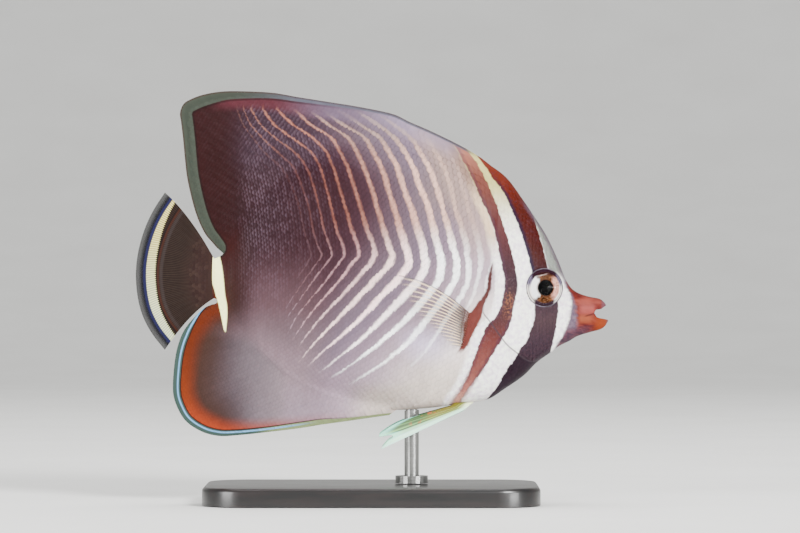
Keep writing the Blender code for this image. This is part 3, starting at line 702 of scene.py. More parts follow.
class Value:
    """A shader socket. Sums and products of these add Math nodes to its material."""

    def __init__(self, graph, socket):
        self.graph = graph
        self.socket = socket

    def math(self, operation, *values):
        return self.graph.node("ShaderNodeMath", {"operation": operation}, dict(enumerate(values)))

    def __add__(self, other):
        return self.math("ADD", self, other)

    def __radd__(self, other):
        return self.math("ADD", other, self)

    def __sub__(self, other):
        return self.math("SUBTRACT", self, other)

    def __rsub__(self, other):
        return self.math("SUBTRACT", other, self)

    def __mul__(self, other):
        return self.math("MULTIPLY", self, other)

    def __rmul__(self, other):
        return self.math("MULTIPLY", other, self)

    def __truediv__(self, other):
        return self.math("DIVIDE", self, other)

    def __pow__(self, other):
        return self.math("POWER", self, other)

    def __abs__(self):
        return self.math("ABSOLUTE", self)

    def fraction(self):
        return self.math("FRACT", self)

    def at_most(self, other):
        return self.math("MINIMUM", self, other)

    def step(self, low, high):
        """0 below low and 1 above high, smooth between; low may be the higher one."""
        settings = {"interpolation_type": "SMOOTHSTEP"}
        return self.graph.node("ShaderNodeMapRange", settings, {"Value": self, 1: low, 2: high})

    def within(self, rear, front, soft=0.2):
        """1 between two places and 0 outside them."""
        return self.step(rear - soft, rear + soft) * (1 - self.step(front - soft, front + soft))

    def wave(self, rate, sharpness):
        """Ridges from 0 to 1, so many to each unit."""
        return (0.5 + 0.5 * self.math("COSINE", self * (math.tau * rate))) ** sharpness

    def curve(self, points):
        """A smooth curve through (input, output) points."""
        ins = [point[0] for point in points]
        outs = [point[1] for point in points]
        low, high, least, most = min(ins), max(ins), min(outs), max(outs)
        shares = [((i - low) / (high - low), (o - least) / (most - least)) for i, o in zip(ins, outs)]
        share = (self - low) / (high - low)
        raised = self.graph.node("ShaderNodeFloatCurve", {"points": shares}, {"Value": share})
        return raised * (most - least) + least


class Graph:
    """A material's nodes, around its Principled BSDF."""

    def __init__(self, name, **constants):
        self.material = bpy.data.materials.new(name)
        self.material.use_nodes = True
        self.tree = self.material.node_tree
        self.shader = self.tree.nodes["Principled BSDF"]
        for socket, value in constants.items():
            self.shader.inputs[socket.replace("_", " ").title().replace("Ior", "IOR")].default_value = value

    def node(self, kind, settings=None, sockets=None, output=0):
        made = self.tree.nodes.new(kind)
        for key, value in (settings or {}).items():
            if key == "points":
                self.set_curve(made.mapping, value)
            elif key == "stops":
                self.set_ramp(made.color_ramp, value)
            else:
                setattr(made, key, value)
        for key, value in (sockets or {}).items():
            self.feed(made.inputs[key], value)
        return Value(self, made.outputs[output])

    def set_curve(self, mapping, shares):
        line = mapping.curves[0]
        for point, place in zip(line.points, (shares[0], shares[-1])):
            point.location = place
        for place in shares[1:-1]:
            line.points.new(*place)
        mapping.update()

    def set_ramp(self, ramp, stops):
        while len(ramp.elements) < len(stops):
            ramp.elements.new(1)
        for element, (place, colour) in zip(ramp.elements, stops):
            element.position = place
            element.color = (*colour, 1)

    def feed(self, socket, value):
        if isinstance(value, Value):
            self.tree.links.new(value.socket, socket)
        elif isinstance(value, (tuple, list)) or hasattr(value, "r"):
            parts = tuple(value)
            socket.default_value = (*parts[:3], 1) if socket.type == "RGBA" else parts
        else:
            socket.default_value = value

    def mix(self, mask, first, second):
        """The first colour where the mask is 0 and the second where it is 1; tuples are colours as seen."""
        first, second = (seen(*colour) if isinstance(colour, tuple) else colour for colour in (first, second))
        return self.node("ShaderNodeMix", {"data_type": "RGBA"}, {0: mask, 6: first, 7: second}, output=2)

    def paint(self, colour, *layers):
        """The colour with (mask, colour) layers laid over it, one after another."""
        for mask, tone in layers:
            colour = self.mix(mask, colour, tone)
        return colour

    def shade(self, colour, factor):
        """A colour made darker or lighter by a factor."""
        grey = self.node("ShaderNodeCombineXYZ", None, {0: factor, 1: factor, 2: factor})
        return self.node("ShaderNodeVectorMath", {"operation": "MULTIPLY"}, {0: colour, 1: grey})

    def place(self):
        """Object coordinates, and x, y and z of them in millimetres."""
        spot = self.node("ShaderNodeTexCoord", output=3)
        parts = [self.node("ShaderNodeSeparateXYZ", None, {0: spot}, output=i) for i in range(3)]
        return spot, *[part * (1 / MM) for part in parts]

    def tones(self, value, stops):
        """A colour that changes along a value, through (value, colour as seen) stops."""
        low, high = stops[0][0], stops[-1][0]
        places = [((place - low) / (high - low), seen(*colour)) for place, colour in stops]
        return self.node("ShaderNodeValToRGB", {"stops": places}, {0: (value - low) / (high - low)})

    def attribute(self, name):
        return self.node("ShaderNodeAttribute", {"attribute_name": name}, output=2)

    def noise(self, spot, per_mm, detail=2):
        sockets = {"Vector": spot, "Scale": per_mm / MM, "Detail": detail}
        return self.node("ShaderNodeTexNoise", None, sockets)

    def bump(self, height, strength, distance):
        sockets = {"Height": height, "Strength": strength, "Distance": distance * MM}
        self.feed(self.shader.inputs["Normal"], self.node("ShaderNodeBump", None, sockets))

    def finish(self, **inputs):
        for socket, value in inputs.items():
            self.feed(self.shader.inputs[socket.replace("_", " ").title()], value)
        return self.material


# Edges of the head's bars, as (z, x) points
EYE_BAR_REAR = (
    (24, 29), (28.4, 31.7), (32, 34.5), (36.6, 37.2), (39.7, 39.4), (42.7, 41), (44.6, 42.6),
    (47.4, 43.5), (50.7, 44.6), (53.7, 44.6), (59, 44.2), (64.1, 43.7), (66.6, 43.2), (70.2, 42.2),
    (76.2, 40.2), (80.6, 38.3), (84.2, 36.7), (87.9, 34.2), (91.9, 31.4), (96, 28.4),
)
EYE_BAR_FRONT = (
    (36, 58), (41, 49.2), (44.3, 49.9), (47.4, 50.5), (50.7, 51), (53.4, 51.2), (59, 49.9), (64.8, 48.2),
    (68.8, 47.3), (72.1, 46.4), (74.9, 45.6), (78.2, 44.6), (80.6, 43.9), (84, 46), (92, 56),
)
GILL_BAR_REAR = (
    (24, 20), (28.4, 22.2), (32.5, 25), (37.5, 27.3), (43.5, 29.5), (48.5, 31.7), (51.6, 34.3),
    (55.6, 35.8), (60.8, 36.4), (64.4, 35.8), (69.9, 34.7), (76.5, 33.1), (83.7, 29.9), (89, 27.7),
    (96, 24),
)
GILL_BAR_FRONT = (
    (24, 22.5), (30.6, 26.8), (34.7, 29.5), (39.8, 32.7), (45.2, 35.9), (49.3, 38), (54.8, 39.1),
    (59.5, 40), (64.4, 39.4), (69.4, 38.2), (76.5, 36), (83.7, 33.5), (90.6, 30.5), (96, 26.8),
)
BREAST_BAR_MIDDLE = (
    (40.5, 23.6), (42.1, 24.8), (44.2, 25.9), (49, 27.4), (52.6, 28.9), (55.7, 30.6), (58.2, 31.9),
    (61.4, 32.4), (65.4, 33.1), (67, 33.4),
)
BREAST_BAR_HALF = (
    (40.5, 0.2), (42.5, 0.9), (46, 1.2), (50, 1.9), (54, 1.1), (58, 0.6), (63, 0.5), (66, 0.1),
)
TAIL_PATCH_REAR = (
    (46, -40.2), (47.6, -40.6), (53.7, -41.9), (57.7, -43), (61.8, -43.9), (66.6, -43.9), (68.6, -42.4),
)
TAIL_PATCH_FRONT = (
    (46, -40.2), (47.6, -40), (52.9, -39.7), (57.3, -40.3), (61.8, -40.7), (66.6, -41.5), (68.6, -42.4),
)
FOREHEAD = (
    (56.5, 59), (57.2, 57.6), (58.4, 55.4), (60.6, 53.7), (66.9, 51.1), (73.4, 48), (78.6, 44.7),
    (82.3, 42.2), (89.4, 36.9), (92.5, 32.8), (97, 25),
)
WHITE_FRONT = (
    (40, 49.2), (43.5, 50.8), (46, 52.4), (49, 53.5), (52, 54.2), (55.5, 54.5), (60, 53), (80, 53),
)

# Where each chevron line lies along the fish at these heights, the rearmost line first
LINE_HEIGHTS = (28, 33, 39, 45, 51, 57, 62, 66, 68, 70, 75, 81, 87, 92, 96, 100, 104, 108)
CHEVRON_LINES = (
    (-44, -41, -37, -33, -29, -25.5, -22.5, -20, -19.2, -19.5, -20.8, -22.2, -24.4, -28.7, -31.8, -34.5,
     -37, -39),
    (-41, -38, -34, -30.5, -26.6, -23.2, -20, -17.2, -16.4, -16.8, -18.4, -19.7, -21.9, -24.7, -29.3,
     -32.4, -35.4, -37),
    (-38.5, -35.5, -31.6, -28, -24.6, -21, -17.5, -14.6, -13.4, -14.4, -15.9, -17, -19.1, -21.3, -25.5,
     -29.8, -33.3, -35.2),
    (-35.5, -32.8, -29.2, -26, -22.8, -18.6, -15.1, -12, -10.7, -11.1, -12.9, -14.2, -15.8, -17.8, -20.8,
     -26.2, -30.7, -33),
    (-33, -30.3, -27, -23.6, -20.4, -15.6, -11.5, -8.6, -7.3, -7.6, -9.4, -10.9, -12.4, -14, -16.3,
     -21.6, -27, -29.8),
    (-31, -28, -24.8, -21.3, -17.2, -12.2, -7.8, -5, -3.3, -3.5, -5.3, -7, -8.9, -10.4, -12.2, -15.8,
     -21.8, -26),
    (-29.5, -26, -22.4, -18.4, -13.6, -7.8, -3.4, 0, 1, 0.8, -1.1, -2.9, -4.7, -6.5, -8.4, -10.7, -17, -21),
    (-27.5, -24, -19.5, -14.4, -8.6, -2.9, 1.8, 5.3, 6, 5, 3.5, 1.7, -0.1, -2, -3.8, -6.2, -12, -17.2),
    (-24.5, -20.8, -15.9, -9.1, -2.4, 3.1, 8.1, 10.4, 10.1, 9.4, 8, 6.3, 4.5, 2.8, 0.7, -1.6, -8.1, -13.8),
    (-22, -17.5, -10, -2.5, 3.6, 9.3, 13.7, 15.1, 14.5, 14.4, 12.8, 10.9, 8.7, 7.2, 5, 2.5, -3.2, -9.6),
    (-19, -12.7, -4, 3.6, 10.3, 15.6, 18.9, 19.3, 19.1, 18.3, 17.2, 15.8, 13.3, 11.6, 9.4, 6.6, 1.5, -5),
    (-12, -5.1, 4.2, 11.2, 15.9, 20.6, 23.3, 23.7, 23.2, 22.5, 21.3, 19.6, 17.9, 15.9, 13.6, 11.1, 6, 0),
    (-2, 4.6, 12.6, 17.3, 21.1, 25, 26.8, 26.7, 26.2, 26.2, 25, 23, 21.7, 20, 17.9, 15.3, 10.5, 5),
    (8, 12.5, 18.5, 21.5, 25, 28, 29.4, 30, 29.9, 29.7, 28.5, 26.6, 25, 23.8, 21.6, 19.5, 15, 10),
)
# How low each line reaches, by its number
LINE_ENDS = (
    (-1, 66), (0, 64), (1, 60), (2, 53), (3, 50), (4, 46.5), (5, 45), (6, 43.2), (7, 38.6), (8, 37.8),
    (9, 35.6), (10, 34.2), (11, 32.4), (12, 36), (13, 42), (15, 46),
)

# How much farther forward the flank's tone seems to lie at each height
GROUND_SHIFT = (
    (20, 46), (29, 42), (35, 36), (45, 25), (55, 15), (65, 6), (75, 0), (85, -2), (95, 6), (104, 14),
    (113, 16),
)
GROUND_TONES = (
    (-48, (78, 41, 39)), (-38, (70, 42, 45)), (-30, (79, 53, 60)), (-20, (80, 51, 57)),
    (-10, (84, 51, 58)), (-3, (100, 68, 79)), (4, (134, 108, 121)), (11, (156, 136, 150)),
    (18, (167, 150, 166)), (25, (184, 168, 180)), (37, (204, 194, 200)), (52, (220, 215, 216)),
)
# Tones of the lower rear flank by height: its own mauve, painted lighter to cancel the shade where the belly
# curves under
LOWER_REAR_TONES = (
    (24, (190, 178, 186)), (34, (184, 169, 176)), (40, (174, 155, 163)), (46, (160, 138, 146)),
    (54, (137, 106, 113)), (62, (116, 84, 91)), (70, (98, 67, 73)),
)
# Where the flank turns down into the anal fin, as (x, z) points; the flank just above this line is painted
# lighter against its shade
FIN_CREASE = (
    (-46, 46.5), (-38, 45), (-34, 44), (-30, 41), (-26, 37.5), (-22, 34.5), (-16, 31.3), (-10, 29),
    (-4, 27.5),
)
FIN_GROUND_TONES = (
    (-50, (104, 80, 72)), (-44, (110, 86, 80)), (-41, (118, 98, 100)), (-38, (130, 116, 123)),
    (-34, (147, 134, 141)), (-30, (163, 150, 157)), (-24, (178, 166, 171)),
)
TOP_LINE_TONES = (
    (0, (128, 98, 98)), (3, (176, 130, 112)), (5, (196, 152, 130)), (6, (198, 164, 148)),
    (7, (196, 174, 164)), (9, (194, 178, 172)), (13, (196, 182, 174)),
)
MIDDLE_LINE_TONES = (
    (0, (106, 75, 80)), (2, (126, 83, 83)), (3, (148, 97, 90)), (4, (166, 111, 98)),
    (5, (170, 118, 103)), (6, (180, 134, 119)), (8, (206, 180, 168)), (10, (220, 203, 195)),
    (13, (216, 202, 194)),
)
LOWER_LINE_TONES = (
    (0, (124, 94, 102)), (2, (152, 118, 124)), (4, (190, 164, 168)), (5, (206, 184, 186)),
    (6, (218, 204, 204)), (7, (230, 220, 218)), (8, (236, 226, 226)), (10, (250, 245, 243)),
    (13, (242, 238, 238)),
)
GILL_BAR_TONES = (
    (22, (228, 216, 208)), (27, (222, 202, 192)), (31, (204, 162, 152)), (35, (182, 124, 114)),
    (39, (172, 108, 100)), (45, (150, 84, 80)), (50, (118, 72, 74)), (56, (104, 74, 78)),
    (61, (88, 62, 72)), (66, (100, 60, 68)), (73, (122, 62, 66)), (82, (144, 82, 76)),
    (89, (168, 108, 94)), (96, (196, 152, 132)),
)
EYE_BAR_TONES = (
    (26, (98, 78, 98)), (36, (78, 58, 72)), (44, (90, 70, 82)), (50, (104, 80, 86)), (54, (92, 70, 80)),
    (62, (86, 50, 56)), (67, (98, 50, 46)), (74, (108, 48, 44)), (81, (122, 54, 44)),
    (86, (146, 58, 38)), (94, (160, 68, 44)),
)
DORSAL_MARGIN_WIDTH = ((-56, 3.5), (-47, 3.2), (-38, 2.2), (-26, 1.5), (-8, 0.9), (14, 0.7), (34, 0.6))
ORANGE_BAND_REACH = ((-56, 6.6), (-50, 6.2), (-44, 5.2), (-36, 3.4), (-28, 2.8), (-18, 2.4), (8, 2.2))
ORANGE_TONES = ((20, (208, 110, 66)), (30, (178, 91, 48)), (42, (124, 64, 36)), (56, (92, 54, 40)))
ANAL_MARGIN_WIDTH = ((-56, 2.1), (-44, 1.7), (-30, 1.3), (-18, 1.5), (-8, 1), (8, 0.5))
TAIL_BAND_REACH = ((40, 3.6), (46, 4.7), (58, 5.4), (66, 5.3), (76, 4.6), (83, 3.7), (87, 3.2))
SNOUT_REACH = ((40, 3.2), (47, 3), (51, 2), (54, 1.2), (58, 0.5), (62, 0.4))

# How much of the way to its scale's root each marking is taken from
MARK_SHIFT = 0.24


def line_numbers(x, z):
    """The number of the chevron line that each side-view place lies on, with shares of one between them."""
    lines = np.array([profile(tuple(zip(LINE_HEIGHTS, line)))(z) for line in CHEVRON_LINES])
    lines = np.concatenate([2 * lines[:1] - lines[1:2], lines, 2 * lines[-1:] - lines[-2:-1]])
    number = np.clip((lines <= x).sum(axis=0) - 1, 0, len(lines) - 2)
    low, high = (np.take_along_axis(lines, (number + step)[None], axis=0)[0] for step in (0, 1))
    return np.clip(number - 1 + (x - low) / (high - low), -3, len(CHEVRON_LINES) + 2)


def chevrons(graph, z, spot, wobble):
    """The chevron lines' mask and their core, which line it is, and nearness to a line's lower end."""
    line = graph.attribute("line")
    stray = graph.noise(spot, 0.35) - 0.5
    fine = graph.noise(spot, 1, 1) - 0.5
    phase = line + stray * (2 * wobble) + fine * (1.6 * wobble)
    away = abs((phase + 0.5).fraction() - 0.5) * 2
    end = line.curve(LINE_ENDS)
    upper = 0.17 + line.step(3, 10) * 0.19 + z.within(60, 77, 5) * line.step(3, 9) * 0.13
    lower = 0.09 + (z - end).step(0, 24) * line.step(2, 9) * 0.36
    wide = lower + (upper - lower) * z.step(56, 68)
    mask = (1 - away.step(wide - 0.14, wide + 0.14)) * z.step(end - 0.8, end + 2.5) * line.step(-0.7, 2.6)
    near_end = (z - end).step(10, 0) * z.step(60, 50)
    return mask * (1 - line.step(10.6, 13.6) * 0.65), away.step(wide + 0.1, 0), line, near_end


def flank_colour(graph, marks, spot, x, z, dorsal_edge):
    """Ground and chevrons: dark in the upper rear, lilac grey towards the front and the belly, with painted
    light where the flank turns down into shade above the anal fin.
    """
    ground = graph.paint(
        graph.tones(x + z.curve(GROUND_SHIFT), GROUND_TONES),
        # Lower rear flank: its own mauve, partly painted light against the belly's shade
        (x.step(-7, -20) * z.step(74, 61), graph.tones(z, LOWER_REAR_TONES)),
        (x.step(-29, -39) * z.step(84, 70) * z.step(46, 58) * 0.9, (66, 37, 36)),
    )
    crease = z - x.curve(FIN_CREASE)
    # Painted light: just above the anal fin's crease, where the flank turns down into shade, the ground is
    # painted up to 42% lighter.
    painted_crease_light = crease.step(12, 1) * crease.step(-0.6, 0.8) * x.step(-3, -11) * x.step(-36, -29)
    ground = graph.paint(
        graph.shade(ground, 1 + painted_crease_light * 0.42),
        (crease.step(3, -2) * x.step(-21, -27) * 0.9, graph.tones(x, FIN_GROUND_TONES)),
        (z.step(88, 98) * x.within(-35, -10, 6) * 0.45, (92, 76, 94)),
        (z.step(72, 86) * x.step(10, 20) * 0.6, (184, 166, 158)),
    )
    lines, core, line, near_end = chevrons(graph, z, spot, marks.wobble)
    beads = graph.noise(spot, 0.9, 1).step(0.35, 0.65)
    line_colour = graph.paint(
        graph.tones(line, MIDDLE_LINE_TONES),
        (z.step(92, 102), graph.tones(line, TOP_LINE_TONES)),
        (z.step(78, 65), graph.tones(line, LOWER_LINE_TONES)),
        (near_end * 0.55, (190, 178, 188)),
        ((core + beads * 0.5).step(1.2, 0.2) * z.step(69, 82) * line.step(11, 5) * 0.5, (150, 88, 72)),
    )
    line_colour = graph.shade(line_colour, 0.94 + core * 0.24)
    inside = dorsal_edge.step(3, 4.4) + x.step(-16, -2) * dorsal_edge.step(0.8, 2.4)
    return graph.mix(lines * inside.at_most(1) * 0.96, ground, line_colour)


def head_ground(graph, marks, x, z, fine, gill_rear, white_front, colour):
    """The white of the head, cream at the nape, and the pale breast behind it."""
    at_front = x.within(gill_rear - 2.2, white_front + 0.6, 0.9)
    behind = x.within(gill_rear - 9, gill_rear, 2.5)
    cloudy = graph.mix(fine.step(0.35, 0.7) * 0.7, marks.white, (228, 222, 228))
    nape = graph.mix(z.step(80, 90), (222, 212, 198), (190, 170, 158))
    rear_white = graph.mix(z.step(64, 75), cloudy, nape)
    front_white = graph.mix(z.step(70, 88), cloudy, (214, 210, 174))
    breast = z.step(46, 32) * (x.step(0, 18) + z.step(35, 28) * x.step(-8, 2)).at_most(1) * (1 - at_front)
    return graph.paint(
        colour,
        (behind * z.step(62, 50) * 0.5, (236, 232, 230)),
        (behind * z.step(62, 74) * 0.5, (204, 190, 182)),
        (at_front, graph.mix((x - gill_rear).step(-0.5, 0.5), rear_white, front_white)),
        (breast * 0.65, (218, 213, 206)),
        (x.within(10, 21, 5) * z.within(40, 47, 4) * 0.4, (224, 220, 232)),
    )


def head_colour(graph, marks, spot, x, z, fine, colour):
    """White ground, the two dark bars, the streak before the breast fin, forehead and snout."""
    gill_rear, gill_front, eye_rear, eye_front, white_front = (
        z.curve(edge) for edge in (GILL_BAR_REAR, GILL_BAR_FRONT, EYE_BAR_REAR, EYE_BAR_FRONT, WHITE_FRONT)
    )
    colour = head_ground(graph, marks, x, z, fine, gill_rear, white_front, colour)
    shifted = x + (fine - 0.5) * 0.35
    soft = z.step(40, 28) * 0.9 + 0.2
    gill_bar = ((shifted - gill_rear) / soft).step(-1, 1) * ((gill_front - shifted) / soft).step(-1, 1)
    flecks = graph.noise(spot, 1.7, 3)
    gold = x.within(36.2, 38.8, 0.9) * z.within(51, 57.5, 2) * flecks.step(0.4, 0.7)
    gill_bar_colour = graph.paint(
        graph.tones(z, GILL_BAR_TONES),
        (abs(shifted - gill_rear - 0.4).step(0.8, 0.2) * 0.4, (110, 76, 100)),
        (abs(shifted - gill_front + 0.4).step(0.8, 0.2) * z.step(62, 50) * 0.5, (100, 70, 96)),
        (flecks.step(0.5, 0.75) * z.step(70, 60) * 0.4, (160, 130, 132)),
        (gold * 0.75, (190, 140, 96)),
    )
    eye_bar_colour = graph.paint(
        graph.tones(z, EYE_BAR_TONES),
        (flecks.step(0.45, 0.75) * 0.4, (130, 94, 108)),
        (graph.attribute("gill").step(0.1, -0.2) * z.step(50, 45) * 0.6, (56, 36, 54)),
        ((shifted - eye_rear).step(1.5, 0.3) * z.step(56, 64) * z.step(92, 84) * 0.8, (58, 50, 84)),
    )
    away = abs(shifted - z.curve(BREAST_BAR_MIDDLE))
    streak = (z.curve(BREAST_BAR_HALF) - away).step(-0.3, 0.3) * z.step(40.5, 42.5) * z.step(66.5, 65)
    brow = (z.curve(FOREHEAD) - x).step(1.7, 0.3) * z.step(57, 59) * z.step(84, 80)
    ahead = shifted - white_front
    lilac = (ahead + (fine - 0.5) * 0.8).step(-0.3, 0.7) * z.step(62.5, 60)
    colour = graph.paint(
        colour,
        (gill_bar, gill_bar_colour),
        (shifted.within(eye_rear, eye_front), eye_bar_colour),
        (streak * 0.97, graph.mix(z.step(50, 60), (146, 52, 24), (104, 44, 38))),
        ((x - eye_front).step(-0.3, 0.4) * z.step(61, 64) * 0.9, (158, 166, 156)),
        (brow * 0.85, (134, 112, 130)),
        (lilac, graph.mix(fine.step(0.3, 0.7), (138, 116, 138), (172, 154, 168))),
    )
    return snout_colour(graph, marks, x, z, ahead, colour)


def snout_colour(graph, marks, x, z, ahead, colour):
    """Red jaws, streaked along their length, with orange and lilac parts."""
    lean = graph.node("ShaderNodeCombineXYZ", None, {0: (x - z * 0.2) * 0.35, 1: 0, 2: z + x * 0.25})
    streaks = graph.noise(lean, 1.1 * MM, 4)
    patches = graph.noise(lean, 0.35 * MM)
    red = (ahead - z.curve(SNOUT_REACH) + (streaks - 0.5) * 2.2).step(-0.5, 0.9) * z.step(62, 60)
    crease = abs(z - 48.4 - (x - 59) * 0.12 + (streaks - 0.5) * 0.8).step(0.35, 0.1) * x.within(56.6, 61, 0.8)
    corner = abs(z - 51.9 + (61.1 - x) * 0.3).step(0.34, 0.1) * x.within(58.6, 61.4, 0.7)
    warm = graph.paint(
        graph.mix(streaks.step(0.35, 0.7), (134, 52, 50), marks.snout),
        (patches.step(0.45, 0.7) * 0.75, (196, 122, 106)),
        (x.within(57, 61.5, 1) * z.within(51.8, 54.3, 0.8) * 0.5, (206, 132, 122)),
        (x.step(59.5, 63) * z.step(52, 50.4) * 0.85, (186, 96, 50)),
        (x.within(56.8, 60.4, 1) * z.within(49.4, 51.4, 0.8) * 0.7, (198, 132, 92)),
        (crease * 0.6, (104, 52, 60)),
        (corner * 0.65, (100, 44, 46)),
    )
    chin = (z - (x - 59) * 0.15).step(49.4, 47.4) * x.step(62, 57.5) * ahead.step(0, 0.8)
    tip = (x.step(62.6, 63.9) * z.step(51.8, 52.6) + x.step(64.2, 65) * z.step(51, 50)) * 0.6
    return graph.paint(
        colour,
        (red, warm),
        (chin * 0.92, graph.mix(streaks.step(0.4, 0.65), (108, 76, 96), (156, 104, 118))),
        (tip, (158, 128, 146)),
    )


def back_fin_colour(graph, marks, x, z, mottle, dorsal_edge, colour):
    """A pink-red band under the fin's edge, maroon at its rear, and the margin."""
    maroon = graph.mix(z.step(104, 80) * 0.7, marks.maroon, (70, 38, 37))
    band = dorsal_edge.step(6, 3.4) * x.step(-46, -38) * x.step(6, -8) * z.step(88, 100)
    width = x.curve(DORSAL_MARGIN_WIDTH)
    margin = graph.paint(
        graph.mix(x.step(-40, -14), (100, 108, 96), (136, 137, 152)),
        (abs(dorsal_edge - width * 0.5).step(1, 0.2) * x.step(-20, -36) * 0.35, (82, 90, 80)),
        (dorsal_edge.step(0.6, 0.2) * 0.6, (104, 74, 66)),
    )
    return graph.paint(
        colour,
        (x.step(-34, -43) * z.step(70, 76) * 0.85, graph.shade(maroon, 0.8 + mottle * 0.4)),
        (band * 0.85, graph.mix(x.step(-28, -8), (130, 68, 78), (158, 138, 160))),
        (dorsal_edge.step(6, 1) * x.step(-6, 8) * x.step(26, 20) * 0.6, (188, 178, 194)),
        (abs(dorsal_edge - width - 0.25).step(0.5, 0.1) * x.step(0, -24) * 0.55, (52, 32, 34)),
        ((dorsal_edge - width).step(0.15, -0.15) * x.step(30, 25) * 0.97, margin),
    )


def anal_fin_colour(graph, marks, x, z, ray, anal_edge, colour):
    """Orange inside a dark line, and a teal margin with a bright thread."""
    within = anal_edge - x.curve(ORANGE_BAND_REACH)
    strokes = ray.wave(3, 2)
    threads = strokes.step(0.7, 0.95) * within.step(18, 4) * x.step(-30, -40)
    orange = graph.mix(0.85 - strokes * 0.35, marks.orange, graph.tones(z, ORANGE_TONES))
    width = x.curve(ANAL_MARGIN_WIDTH) * z.step(54.5, 45) - z.step(53, 54.5) * 0.3
    margin = graph.paint(
        graph.mix(x.step(-33, -25), (98, 124, 116), (178, 186, 150)),
        (abs(anal_edge - width * 0.66).step(0.34, 0.08) * x.step(-14, -26) * 0.95, (170, 204, 220)),
    )
    return graph.paint(
        colour,
        (within.step(9, -1) * x.step(-32, -43) * 0.85, (112, 76, 58)),
        (threads * 0.4, (78, 58, 58)),
        (within.step(2, -3.4) * x.step(2, -30) * 0.97, orange),
        (abs(anal_edge - width - 0.1).step(0.3, 0.08) * x.step(0, -20) * 0.9, (36, 28, 30)),
        ((anal_edge - width).step(0.1, -0.1), margin),
    )


def tail_colour(graph, z, ray, fine, tail_edge):
    """A dark web with paler rays, a cream band with a blue line behind it, and a clear grey margin."""
    thread = ray.wave(4, 2)
    cream = graph.mix(z.step(78, 48), (206, 196, 132), (200, 204, 196))
    cream = graph.mix(thread * 0.6, cream, (244, 240, 214))
    edge = z.curve(TAIL_BAND_REACH) - tail_edge + (thread - 0.5) * 0.3
    return graph.paint(
        graph.mix(thread * 0.6 + (fine - 0.5) * 0.3, (54, 42, 36), (104, 86, 74)),
        (tail_edge.step(11, 18) * 0.6, (92, 66, 62)),
        (abs(tail_edge - 7).step(0.7, 0.2) * 0.4, (104, 92, 92)),
        (abs(tail_edge - 6.1).step(0.45, 0.15) * 0.6, (108, 60, 46)),
        (abs(tail_edge - 5.6).step(0.3, 0.1) * 0.8, (48, 34, 30)),
        (tail_edge.step(2.7, 3) * edge.step(-0.15, 0.15), cream),
        (tail_edge.step(3, 2.7), (62, 62, 112)),
        (tail_edge.step(2.4, 1.6), graph.mix(thread * 0.3, (34, 28, 38), (56, 48, 66))),
    )


def scale_tones_and_light(graph, x, z, fine, mottle, open_flank, colour):
    """Each scale's random tone, with light and shade painted into its colour: a pale painted highlight at its
    free edge in the dark rear, a dark painted shadow along its margin and painted shade towards its root.
    """
    rim, edge, tone = (graph.attribute(name) for name in ("rim", "edge", "tone"))
    rear = x.step(2, -20) * z.step(44, 60)
    # Painted highlight: a pale lilac band along each scale's raised free edge in the dark rear, of random
    # strength.
    painted_edge_highlight = rim.step(0.6, 0.95) * open_flank * rear * (1 - x.step(-32, -38) * 0.9)
    painted_edge_highlight = painted_edge_highlight * (0.65 + z.step(66, 78) * 0.35)
    strength = fine.step(0.3, 0.65) * 0.28 + (tone + mottle * 4 - 2).step(-0.8, 1) * 0.3
    strength = strength * (1 - x.step(-27, -20) * z.step(98, 90) * 0.5)
    colour = graph.mix(painted_edge_highlight * strength, colour, (156, 132, 148))
    upper_half = graph.attribute("shift_z").step(0.2, -0.3)
    # Painted shadow: each scale's margin darkened, most on its upper half and higher up the flank.
    painted_margin_shadow = edge.step(0.7, 0.98) * (0.3 + upper_half * 0.7) * open_flank * (1 - rear * 0.55) * x.step(34, 24)
    # grain: random tone and mottle, plus painted shade near each scale's root and painted light towards its
    # free edge.
    grain = 0.98 + tone * 0.05 + (mottle - 0.5) * 0.16 + (rim - 0.5) * 0.2 * rim.step(0, 0.02)
    return graph.shade(colour, grain - painted_margin_shadow * (0.18 + z.step(50, 72) * 0.22))


